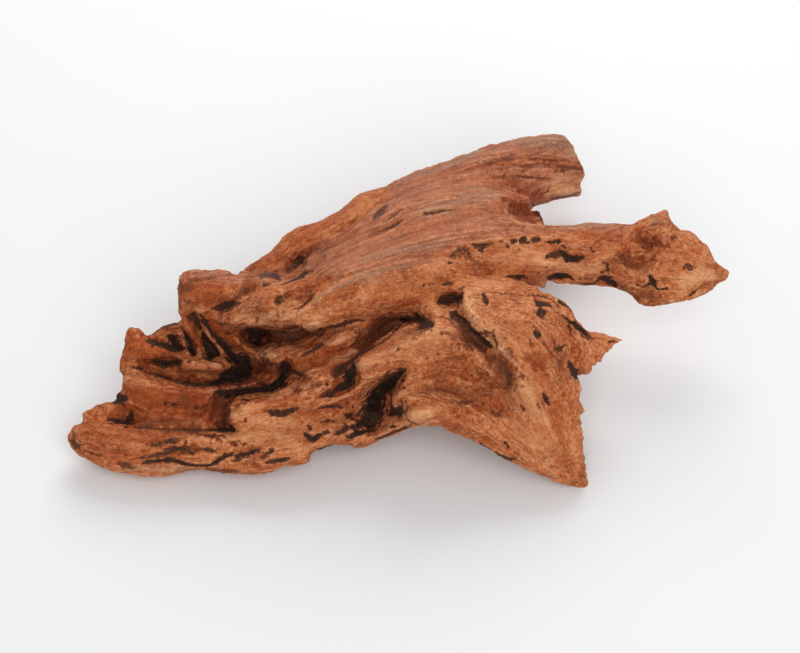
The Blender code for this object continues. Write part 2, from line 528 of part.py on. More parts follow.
def keep_largest(mesh):
    """Deletes all but the body with the most faces."""
    bm = bmesh.new()
    bm.from_mesh(mesh)
    left = set(bm.faces)
    bodies = []
    while left:
        waiting = [left.pop()]
        body = list(waiting)
        while waiting:
            around = [other for edge in waiting.pop().edges for other in edge.link_faces]
            found = left.intersection(around)
            left -= found
            body += found
            waiting += found
        bodies.append(body)
    bodies.sort(key=len)
    crumbs = [face for body in bodies[:-1] for face in body]
    bmesh.ops.delete(bm, geom=crumbs, context="FACES")
    loose = [vert for vert in bm.verts if not vert.link_faces]
    bmesh.ops.delete(bm, geom=loose, context="VERTS")
    bm.to_mesh(mesh)
    bm.free()


def thin_out(wood):
    """Leaves about FACES_IN_ALL triangles, the most where the wood bends most."""
    thinner = wood.modifiers.new("thin out", "DECIMATE")
    thinner.ratio = FACES_IN_ALL / (2 * len(wood.data.polygons))
    thinner.use_collapse_triangulate = True
    bake(wood)


def stand_on_table(wood):
    bm = bmesh.new()
    bmesh.ops.create_cube(bm, size=1)
    bmesh.ops.translate(bm, vec=(0, 0, -0.5), verts=bm.verts)
    cut(wood, new_object("table", bm), "DIFFERENCE")


def drawn_in(outline, by):
    """The outline with each of its sides moved inwards by a distance."""
    corners = [Vector(corner) for corner in outline]
    made = []
    for before, here, after in zip(corners[-1:] + corners, corners, corners[1:] + corners[:1]):
        first, second = (here - before).normalized(), (after - here).normalized()
        inwards = Vector((-first.y, first.x)) + Vector((-second.y, second.x))
        inwards /= 1 + first.dot(second)
        made.append(here + inwards * by)
    return made


def parted(wood, name, outline):
    """A copy of the wood, kept only where its region of the drawing covers it."""
    if sum(a[0] * b[1] - b[0] * a[1] for a, b in zip(outline, outline[1:] + outline[:1])) < 0:
        outline = outline[::-1]
    outline = drawn_in(outline, GAP / 2 / SCALE)
    bm = bmesh.new()
    low = [bm.verts.new(on_drawing(corner.x, corner.y, BELOW_ALL)) for corner in outline]
    high = [bm.verts.new(on_drawing(corner.x, corner.y, ABOVE_ALL)) for corner in outline]
    bm.faces.new(low)
    bm.faces.new(high)
    for n in range(len(low)):
        bm.faces.new((low[n], low[n - 1], high[n - 1], high[n]))
    bmesh.ops.triangulate(bm, faces=bm.faces)
    bmesh.ops.recalc_face_normals(bm, faces=bm.faces)
    piece = bpy.data.objects.new(name, wood.data.copy())
    bpy.context.scene.collection.objects.link(piece)
    # The exact solver can lose a whole piece of wood as folded as this
    cut(piece, new_object("region", bm), "INTERSECT", solver="MANIFOLD")
    return piece


def new_object(name, bm):
    mesh = bpy.data.meshes.new(name)
    bm.to_mesh(mesh)
    bm.free()
    made = bpy.data.objects.new(name, mesh)
    bpy.context.scene.collection.objects.link(made)
    return made


def paint(piece, colour):
    wood_finish = bpy.data.materials.new(piece.name)
    wood_finish.use_nodes = True
    shader = wood_finish.node_tree.nodes["Principled BSDF"]
    shader.inputs["Base Color"].default_value = (*colour, 1)
    shader.inputs["Roughness"].default_value = ROUGHNESS
    shader.inputs["Metallic"].default_value = 0
    piece.data.materials.clear()
    piece.data.materials.append(wood_finish)


def clear_scene():
    for old in list(bpy.data.objects):
        bpy.data.objects.remove(old)


clear_scene()
wood = join_limbs()
fuse(wood, UNION_GRAIN, smoothing=6)
saw_off(wood)
ease_onto_outline(wood)
carve(wood)
fuse(wood, CARVED_GRAIN, smoothing=1)
weather(wood)
thin_out(wood)
stand_on_table(wood)
pieces = [parted(wood, name, outline) for name, outline in REGIONS.items()]
bpy.data.objects.remove(wood)
for piece in pieces:
    paint(piece, COLOURS[piece.name])
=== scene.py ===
import math

import bpy
import numpy as np
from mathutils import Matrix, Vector
from mathutils.bvhtree import BVHTree


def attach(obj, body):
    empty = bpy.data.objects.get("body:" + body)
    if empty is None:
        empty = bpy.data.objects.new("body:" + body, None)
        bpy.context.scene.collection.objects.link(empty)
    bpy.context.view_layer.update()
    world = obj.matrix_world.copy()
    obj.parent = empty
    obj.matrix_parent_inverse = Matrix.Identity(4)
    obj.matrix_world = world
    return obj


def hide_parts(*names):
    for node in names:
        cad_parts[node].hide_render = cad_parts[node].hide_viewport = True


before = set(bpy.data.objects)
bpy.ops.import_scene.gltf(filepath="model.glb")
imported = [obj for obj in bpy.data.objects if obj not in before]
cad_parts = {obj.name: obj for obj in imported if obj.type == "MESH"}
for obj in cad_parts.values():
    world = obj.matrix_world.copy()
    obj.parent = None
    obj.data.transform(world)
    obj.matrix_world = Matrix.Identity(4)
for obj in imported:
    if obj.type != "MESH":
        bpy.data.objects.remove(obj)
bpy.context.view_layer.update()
mm = 0.001
print("frame loaded")

# The piece is drawn as the camera sees it: x to the right and y up, in mm from the drawing's centre
sight = {
    "lean": 50,  # degrees from the table up to the camera
    "distance": 2000,
    "centre": (0.93, 6.92, 0),  # where the drawing's centre is in the frame
    "lens": 180,
    "sensor": 36,
    "shift": -0.5 / 800,  # the photograph's middle is half a pixel lower
}
rise, run = math.sin(math.radians(sight["lean"])), math.cos(math.radians(sight["lean"]))
toEye = np.array((0, -run, rise))
drawingUp = np.array((0, rise, run))
centre = np.array(sight["centre"])


def onDrawing(x, y, h):  # the point of the line of sight through x, y that is h above the table, in mm
    away = (y - h * run - y * h * rise / sight["distance"]) / (rise - y * run / sight["distance"])
    nearer = h * rise - away * run
    return centre + np.array((x * (1 - nearer / sight["distance"]), away, h))


def toDrawing(points):  # x and y on the drawing, and how near the eye, of points in mm
    p = points - centre
    nearer = p @ toEye
    shrink = 1 - nearer / sight["distance"]
    return np.stack([p[:, 0] / shrink, p @ drawingUp / shrink], axis=1), nearer


def smoothPath(stations, steps=4):  # a Catmull-Rom curve through the stations
    rows = np.array(stations, float)
    padded = np.vstack([2 * rows[0] - rows[1], rows, 2 * rows[-1] - rows[-2]])
    made = []
    for a, b, c, d in zip(padded, padded[1:], padded[2:], padded[3:]):
        for t in np.linspace(0, 1, steps, endpoint=False):
            bend, twist = 2 * a - 5 * b + 4 * c - d, 3 * b - a - 3 * c + d
            made.append(0.5 * (2 * b + (c - a) * t + bend * t**2 + twist * t**3))
    return np.array(made + [rows[-1]])


# Mesh helpers. Points are in mm
def vectorsOf(obj, kind):  # one row for each vertex
    values = np.empty(len(obj.data.vertices) * 3, np.float32)
    obj.data.vertices.foreach_get(kind, values)
    return values.reshape(-1, 3).astype(float)


def pointsOf(obj):
    return vectorsOf(obj, "co") / mm


def normalsOf(obj):
    return vectorsOf(obj, "normal")


def edgesOf(obj):
    edges = np.empty(len(obj.data.edges) * 2, np.int32)
    obj.data.edges.foreach_get("vertices", edges)
    return edges.reshape(-1, 2)


def movePoints(obj, points):
    obj.data.vertices.foreach_set("co", (points * mm).astype(np.float32).ravel())
    obj.data.update()


def addObject(name, mesh):
    made = bpy.data.objects.new(name, mesh)
    bpy.context.scene.collection.objects.link(made)
    return made


def choose(obj):  # alone, for the next operator
    bpy.ops.object.select_all(action="DESELECT")
    obj.select_set(True)
    bpy.context.view_layer.objects.active = obj


def inEditMode(operator, **settings):  # runs an operator on the whole mesh of the active object
    bpy.ops.object.mode_set(mode="EDIT")
    bpy.ops.mesh.select_all(action="SELECT")
    operator(**settings)
    bpy.ops.object.mode_set(mode="OBJECT")


def modify(obj, kind, **settings):  # adds a modifier and applies it
    choose(obj)
    made = obj.modifiers.new(kind.lower(), kind)
    for name, value in settings.items():
        setattr(made, name, value)
    bpy.ops.object.modifier_apply(modifier=made.name)


def spread(values, edges, times):  # evens out a value over the surface
    a, b = edges.T
    count = np.bincount(a, minlength=len(values)) + np.bincount(b, minlength=len(values))
    for _ in range(times):
        around = np.bincount(a, values[b], len(values)) + np.bincount(b, values[a], len(values))
        values = (values + around / count) / 2
    return values


def spreadRows(rows, edges, times):
    return np.stack([spread(rows[:, i], edges, times) for i in range(rows.shape[1])], axis=1)


def ramp(values, low, high):  # 0 below low, 1 above high, eased between
    t = np.clip((values - low) / (high - low), 0, 1)
    return t * t * (3 - 2 * t)


# The grain: lines that the fibres follow, as x, y on the drawing and height above the table
grainLines = {
    "sawnTop": [(-72, 14, 36), (-57, 22, 40), (-32, 35, 46), (0, 50.5, 50), (35, 65.5, 48), (60, 76, 42),
        (86, 79.5, 34), (125, 84, 26)],
    "sawnBackEdge": [(-70, 33, 38), (-45, 49, 40), (-20, 64, 42), (15, 77, 42), (60, 92, 36), (88, 96, 28)],
    "crown": [(-66, 1, 40), (-45, 10, 50), (-20, 26, 60), (10, 40, 62), (40, 48, 57), (62, 51, 52)],
    "centralFlow": [(-88, 3, 58), (-72, 8, 63), (-50, 11.5, 66), (-26, 17, 67), (8, 27, 65), (42, 36, 62),
        (76, 40, 58), (110, 34, 57), (140, 31, 57), (161, 25.5, 50)],
    "armFoot": [(45, 28, 58), (80, 26, 50), (110, 22, 48), (128, 14, 50)],
    "knuckle": [(104, 36, 60), (116, 43, 60), (128, 50, 60), (134, 57, 59)],
    "midFlow": [(-84, -45, 27), (-76, -42, 30), (-57, -37, 35), (-35, -29, 42), (-10, -20, 50), (15, -8, 57),
        (38, 0, 58), (62, 2, 56), (90, -3, 46), (110, -6.5, 45)],
    "shoulder": [(0, 12, 62), (22, 15, 62), (42, 16, 58), (64, 14, 56), (82, 8, 52), (92, -2, 47)],
    "flareRidge": [(14, 10, 60), (26, 8, 58), (33, 2, 57), (43, -10, 54), (53, -22, 50), (62, -38, 40),
        (74, -56, 24), (86, -70, 10), (89, -77, 4)],
    "flareEdge": [(60, 8, 55), (76, -6, 51), (86, -22, 44), (87, -40, 34), (88, -58, 20), (90, -74, 8)],
    "neck": [(-62, -50, 20), (-32, -50, 24), (-6, -42, 36), (10, -40, 40), (32, -46, 36), (58, -62, 22),
        (80, -74, 8)],
    "neckTop": [(-10, -22, 50), (8, -24, 50), (26, -28, 48), (42, -36, 42), (56, -50, 30), (76, -66, 12)],
    "trough": [(-92, -40, 20), (-72, -32, 25), (-50, -24, 30), (-25, -14, 36), (4, -4, 42)],
    "innerFlow": [(-70, -15, 38), (-58, -14, 40), (-38, -10, 44), (-16, -4, 46), (6, 2, 50)],
    "tongue": [(-161, -56, 13), (-138, -59, 14), (-110, -62, 14), (-75, -62, 15), (-45, -58, 18),
        (-18, -52, 22), (10, -43, 27)],
    "shelf": [(-139, -30, 26), (-120, -35, 25), (-98, -37, 26), (-75, -36, 29), (-50, -28, 34)],
    "midLobe": [(-138, -18, 34), (-123, -17, 35), (-108, -17, 36), (-90, -20, 34), (-72, -24, 30)],
    "rearLobe": [(-132, -6, 38), (-117, -6, 40), (-108, -5, 41), (-98, -12, 38), (-88, -22, 32)],
    "fins": [(-108, 10, 46), (-101, 2, 44), (-95, -8, 40), (-86, -18, 34), (-72, -26, 28)],
    "horn": [(-112, 16, 52), (-93, 15, 54), (-80, 14, 50), (-58, 14, 44)],
    "belly": [(-105, -30, 22), (-75, -22, 27), (-40, -8, 32), (0, 6, 36), (40, 20, 38), (66, 26, 42)],
    "rearRoot": [(-48, 30, 42), (-20, 41, 34), (4, 41, 23), (22, 35, 13), (36, 29, 6), (44, 26, 4)],
}
grain = {
    "cell": 6,  # mm between the places where the direction is worked out
    "margin": 12,
    "core": 5,  # within this of a line the fibres run along it alone
    "step": 1.1,
    "steps": 13,  # each way along a fibre
    "lattice": 64,
}


def grainField(low, high):
    shape = np.ceil((high - low + 2 * grain["margin"]) / grain["cell"]).astype(int) + 1
    start = low - grain["margin"]
    at = np.stack(np.meshgrid(*[np.arange(n) for n in shape], indexing="ij"), axis=-1).reshape(-1, 3)
    at = start + at * grain["cell"]
    total = np.zeros_like(at)
    for stations in grainLines.values():
        path = np.array([onDrawing(*row) for row in smoothPath(stations, 2)])
        for a, b in zip(path, path[1:]):
            step = b - a
            t = np.clip((at - a) @ step / (step @ step), 0, 1)
            gap = np.square(at - a - t[:, None] * step).sum(axis=1)
            total += step / np.linalg.norm(step) / (gap + grain["core"] ** 2)[:, None] ** 3
    total /= np.linalg.norm(total, axis=1)[:, None]
    return start, shape, total.astype(np.float32)


def fieldAt(field, points):
    start, shape, values = field
    place = (points - start) / grain["cell"]
    corner = np.clip(place.astype(np.int32), 0, shape - 2)
    t = (place - corner).astype(np.float32)
    index = (corner[:, 0] * shape[1] + corner[:, 1]) * shape[2] + corner[:, 2]
    found = np.zeros((len(points), 3), np.float32)
    for i in (0, 1):
        for j in (0, 1):
            for k in (0, 1):
                share = (t[:, 0] if i else 1 - t[:, 0]) * (t[:, 1] if j else 1 - t[:, 1])
                share = share * (t[:, 2] if k else 1 - t[:, 2])
                found += values[index + (i * shape[1] + j) * shape[2] + k] * share[:, None]
    return found / np.maximum(np.linalg.norm(found, axis=1), 1e-6)[:, None]


def fibresThrough(field, points):  # the places along the fibre through each point
    made = [points.astype(np.float32)]
    for way in (-1, 1):
        here = points.astype(np.float32)
        for _ in range(grain["steps"]):
            here = here + way * grain["step"] * fieldAt(field, here)
            made.insert(0 if way < 0 else len(made), here)
    return made


def latticeNoise(points, size, seed):
    side = grain["lattice"]
    table = np.random.default_rng(seed).uniform(-1, 1, side**3).astype(np.float32)
    place = points / size + side * 8
    corner = np.floor(place).astype(np.int32)
    t = (place - corner).astype(np.float32)
    t = t * t * (3 - 2 * t)
    near, far = corner % side, (corner + 1) % side
    made = np.zeros(len(points), np.float32)
    for x, u in ((near[:, 0], 1 - t[:, 0]), (far[:, 0], t[:, 0])):
        for y, v in ((near[:, 1], 1 - t[:, 1]), (far[:, 1], t[:, 1])):
            for z, w in ((near[:, 2], 1 - t[:, 2]), (far[:, 2], t[:, 2])):
                made += table[(x * side + y) * side + z] * u * v * w
    return made


def fibreNoise(fibres, size, reach, seed):  # noise drawn out along the grain, with a spread of 1
    middle = len(fibres) // 2
    made = np.zeros(len(fibres[0]))
    for i, points in enumerate(fibres):
        share = math.exp(-((i - middle) * grain["step"] / reach) ** 2)
        if share > 0.02:
            made += share * latticeNoise(points, size, seed)
    return np.clip(made / made.std(), -3, 3)


# What the piece covers on the drawing, clockwise from the notch behind the horn root
outline = [
    (-81, 26), (-75, 31), (-65, 37), (-60, 42), (-56, 46), (-52, 49), (-45, 51), (-40, 52.5), (-35, 55),
    (-30, 58), (-25, 62), (-20, 66), (-10, 69.5), (0, 73.5), (8, 77), (15, 79), (25, 82.5), (30, 85),
    (45, 90.5), (60, 94.5), (75, 96.5), (82, 96), (85, 92), (88, 87), (91, 81), (93, 79.5), (92.5, 77),
    (93.5, 75), (90, 71), (91, 69), (90.5, 65), (85, 64), (78, 63), (70, 61), (67, 60), (68, 58), (70, 56),
    (72, 53.5), (70, 51), (75, 50), (85, 51), (95, 52.5), (105, 52), (115, 51), (120, 53), (125, 56),
    (130, 56.5), (134, 58), (134, 54), (138, 51), (140, 48), (145, 47), (150, 44), (155, 40), (158, 34),
    (161, 30), (164, 25), (158, 21), (157, 18), (150, 14), (140, 11.5), (130, 10), (125, 9), (120, 9.5),
    (117, 12), (115, 15), (112, 16.5), (105, 18.5), (95, 20), (85, 21.5), (75, 21.5), (68, 21), (75, 17),
    (80, 14), (85, 10), (88, 5), (90, 1), (92, -1), (97, -3), (103, -4), (111, -6.5), (107, -8), (105, -13),
    (100, -16), (95, -20), (93, -26), (90, -30), (90, -36), (92, -41), (90, -46), (90, -55), (92, -63),
    (93, -70), (92, -78), (90, -80), (80, -78), (70, -75), (60, -71), (50, -66), (40, -60), (30, -55),
    (20, -50.5), (12, -49.5), (5, -50), (0, -52.5), (-5, -55), (-10, -57), (-15, -60), (-24, -62),
    (-25, -60.5), (-30, -59.5), (-35, -60), (-40, -63), (-44, -65), (-45, -69), (-55, -70), (-65, -74),
    (-75, -75), (-90, -74), (-100, -72.5), (-110, -73), (-125, -74), (-142, -73), (-150, -70), (-160, -65),
    (-162.5, -62), (-165, -60), (-166, -55), (-164, -50), (-159, -48), (-160, -45), (-158, -41), (-153, -39),
    (-148, -37.5), (-142, -37), (-142, -33), (-139, -31), (-139, -25), (-141.5, -21.5), (-141, -20),
    (-139.5, -15), (-138, -10), (-137, -6), (-136, -2), (-133, -1), (-129, -2), (-125, -5), (-120, -1),
    (-115, 1), (-110, 1.5), (-110, 5), (-111.5, 8), (-111, 11.5), (-113, 13), (-112, 15), (-112, 20),
    (-111, 24), (-110, 27), (-104, 28), (-95, 28), (-86, 28),
]


def easeOntoOutline(obj, width, step):  # smoothing rounds the tips off, so the rim is drawn out again
    points = pointsOf(obj)
    flat = toDrawing(points)[0]
    corners = np.array(outline, float)
    ends = np.roll(corners, -1, axis=0)
    lengths = np.linalg.norm(ends - corners, axis=1)
    starts = np.concatenate([[0], np.cumsum(lengths)[:-1]])
    gapTo, foot = np.full(len(flat), np.inf), np.zeros_like(flat)
    roundTo, inside = np.zeros(len(flat)), np.zeros(len(flat), bool)
    for a, b, length, start in zip(corners, ends, lengths, starts):
        t = np.clip(((flat - a) @ (b - a)) / length**2, 0, 1)
        near = a + t[:, None] * (b - a)
        gap = np.linalg.norm(flat - near, axis=1)
        closer = gap < gapTo
        gapTo, roundTo = np.where(closer, gap, gapTo), np.where(closer, start + t * length, roundTo)
        foot[closer] = near[closer]
        crosses = (a[1] > flat[:, 1]) != (b[1] > flat[:, 1])
        slope = (b[0] - a[0]) / (b[1] - a[1]) if a[1] != b[1] else 0
        inside ^= crosses & (flat[:, 0] < a[0] + (flat[:, 1] - a[1]) * slope)
    depth = np.where(inside, gapTo, -gapTo)
    bins = int(lengths.sum() / step)
    place = roundTo / lengths.sum() * bins
    index = place.astype(int) % bins
    over = np.full(bins, -width / 2)
    np.maximum.at(over, index, -depth)
    over = np.maximum(over, (np.roll(over, 1) + np.roll(over, -1)) / 2)
    over = np.clip(over, -width / 2, 2 * width)
    nearby = over[index] * (1 - place % 1) + over[(index + 1) % bins] * (place % 1)
    moved = np.where(depth < width, width * (depth + nearby) / (width + nearby), depth) - depth
    inwards = (flat - foot) / np.maximum(gapTo, 1e-6)[:, None] * np.sign(depth)[:, None]
    across = inwards * moved[:, None]
    movePoints(obj, points + across[:, :1] * np.array([1.0, 0, 0]) + across[:, 1:] * drawingUp)


# Marks on the drawing: (x, y, half width, how dark) along each, deepest where darkest
# The dark of these marks is rot and stain, and painted shade in the holes, slots, gaps and under edges
holes = {
    "underBeakHole": [(-76, -2.6, 1.3, 0.9), (-73.5, -3.8, 2.7, 1), (-70, -4.6, 2.7, 1),
        (-71.6, -8.2, 1.4, 0.95)],
    "midHole": [(-24, -23.5, 2.4, 1), (-26, -28, 2.8, 1), (-30.5, -31, 2, 0.95), (-35, -34, 1.2, 0.8),
        (-40, -35.8, 0.6, 0.6)],
    "bowl": [(-122, -25, 0.5, 0.5), (-113, -27.6, 0.8, 0.6), (-104, -29.2, 0.9, 0.8), (-96, -29.4, 1.2, 0.9),
        (-90.6, -28, 2, 1), (-85, -25.4, 3.6, 1), (-79.4, -22.6, 4.8, 1), (-77, -18.5, 3.4, 1),
        (-80, -15.4, 1.6, 0.9)],
    "shelfSlot": [(-91, -33, 1.4, 0.8), (-82, -33, 2, 0.95), (-73, -31.8, 1.9, 1), (-65, -31, 2, 1),
        (-60, -28.6, 2.3, 1), (-58, -23.5, 1.8, 1), (-58, -19.5, 1.7, 0.9)],
    "finGapA": [(-104.4, 3, 1.6, 0.65), (-103.4, 5.6, 1.9, 0.75), (-102, 2.4, 2, 0.7), (-100, -1, 1.4, 0.8)],
    "finGapB": [(-100, 6, 0.7, 0.8), (-97.5, 2.4, 1.2, 0.8), (-94.5, -2.6, 1.6, 0.85),
        (-91, -6.5, 2.1, 0.95), (-87, -11.4, 2.7, 1), (-83.4, -15.5, 2.7, 1), (-81, -18, 1.8, 1)],
    "finGapC": [(-98.6, -3.4, 1, 0.9), (-96.6, -8, 2.2, 1), (-94.4, -12, 3.4, 1), (-94.4, -14.8, 2.4, 1)],
    "finGapD": [(-109.4, 0, 0.4, 0.7), (-107.4, -4, 0.7, 0.9), (-105, -9, 1.8, 1), (-103.6, -13.6, 2.2, 1)],
    "rearLobe": [(-125, -8, 1.3, 0.75), (-121, -8.8, 1.8, 0.8), (-116, -10, 2, 0.85), (-112, -11, 2, 0.9)],
    "rearBall": [(-114.4, -6, 2, 1), (-112, -8, 2.8, 1), (-110, -11, 1.8, 1)],
    "midLobe": [(-123, -18, 1.5, 0.75), (-119, -19, 2.8, 0.88), (-114.6, -18.8, 1.9, 0.85),
        (-110, -17.6, 1.1, 0.75)],
    "tongueSlot": [(-90, -52.4, 0.7, 0.8), (-86, -52, 1.1, 1), (-82.8, -52, 0.9, 1)],
    "lobeFork": [(-134.2, -43, 1.3, 0.75), (-135.2, -46, 2.3, 0.8), (-136.4, -48.8, 1.9, 0.85)],
    "lobeForkTail": [(-146, -47, 0.8, 0.7), (-141.4, -47.4, 1.3, 0.95), (-138, -48.4, 1.2, 0.9)],
    "eye": [(19.4, 12, 1.4, 0.75), (22.6, 13, 3, 0.85), (26, 13.8, 3.8, 0.85), (28.8, 13.6, 2.6, 0.85)],
    "groove": [(25.6, 6.4, 1.2, 0.8), (29.6, 3, 2, 0.62), (33.6, -1.4, 3, 0.58), (38, -6.4, 3.8, 0.58),
        (42.4, -10, 3, 0.62)],
    "grooveEdge": [(27, 7, 0.8, 0.9), (33, 1.6, 1, 0.8), (38, -3.6, 1.1, 0.85), (43, -7.8, 1.4, 0.9),
        (45.6, -10.4, 1, 0.85)],
    "lowerGroove": [(44, -15.4, 1.6, 0.5), (49.6, -17, 2.2, 0.5), (53, -21.6, 2.4, 0.55),
        (55.2, -26.4, 1.9, 0.6), (53.6, -30, 1.6, 0.5)],
    "saddle": [(-3, 2.4, 3, 0.42), (-7.4, -1.4, 3.6, 0.42), (-12.4, -6.4, 3, 0.42), (-16, -9.6, 2, 0.42)],
    "saddleEdge": [(0.4, 0.4, 0.8, 0.7), (-4, -3.8, 0.7, 0.55), (-8.6, -8, 0.8, 0.55),
        (-14, -11.2, 0.8, 0.6), (-20, -14.4, 1.2, 0.7), (-26, -18.4, 1.4, 0.7), (-30.6, -21.6, 2.5, 0.75),
        (-32, -24.2, 1.4, 0.7)],
    "saddlePit": [(1, 3.2, 1.7, 0.8), (4.6, 3, 2, 0.7), (8, 3.6, 2.2, 0.8), (11.6, 2, 3.2, 0.85),
        (15, 0.5, 1.9, 0.85)],
    "beakSlot": [(-61.4, -5.8, 2.2, 0.52), (-56, -6.2, 3.4, 0.54), (-50, -4.4, 3.4, 0.56),
        (-45, -4.4, 1.7, 0.62), (-38.6, -2.8, 0.9, 0.55)],
    "nubSlot": [(-40, -1.7, 0.8, 0.6), (-33, -0.4, 1, 0.65), (-27, 1.5, 1.2, 0.7), (-22, 2.8, 1.2, 0.7),
        (-18, 2.6, 0.7, 0.6)],
}
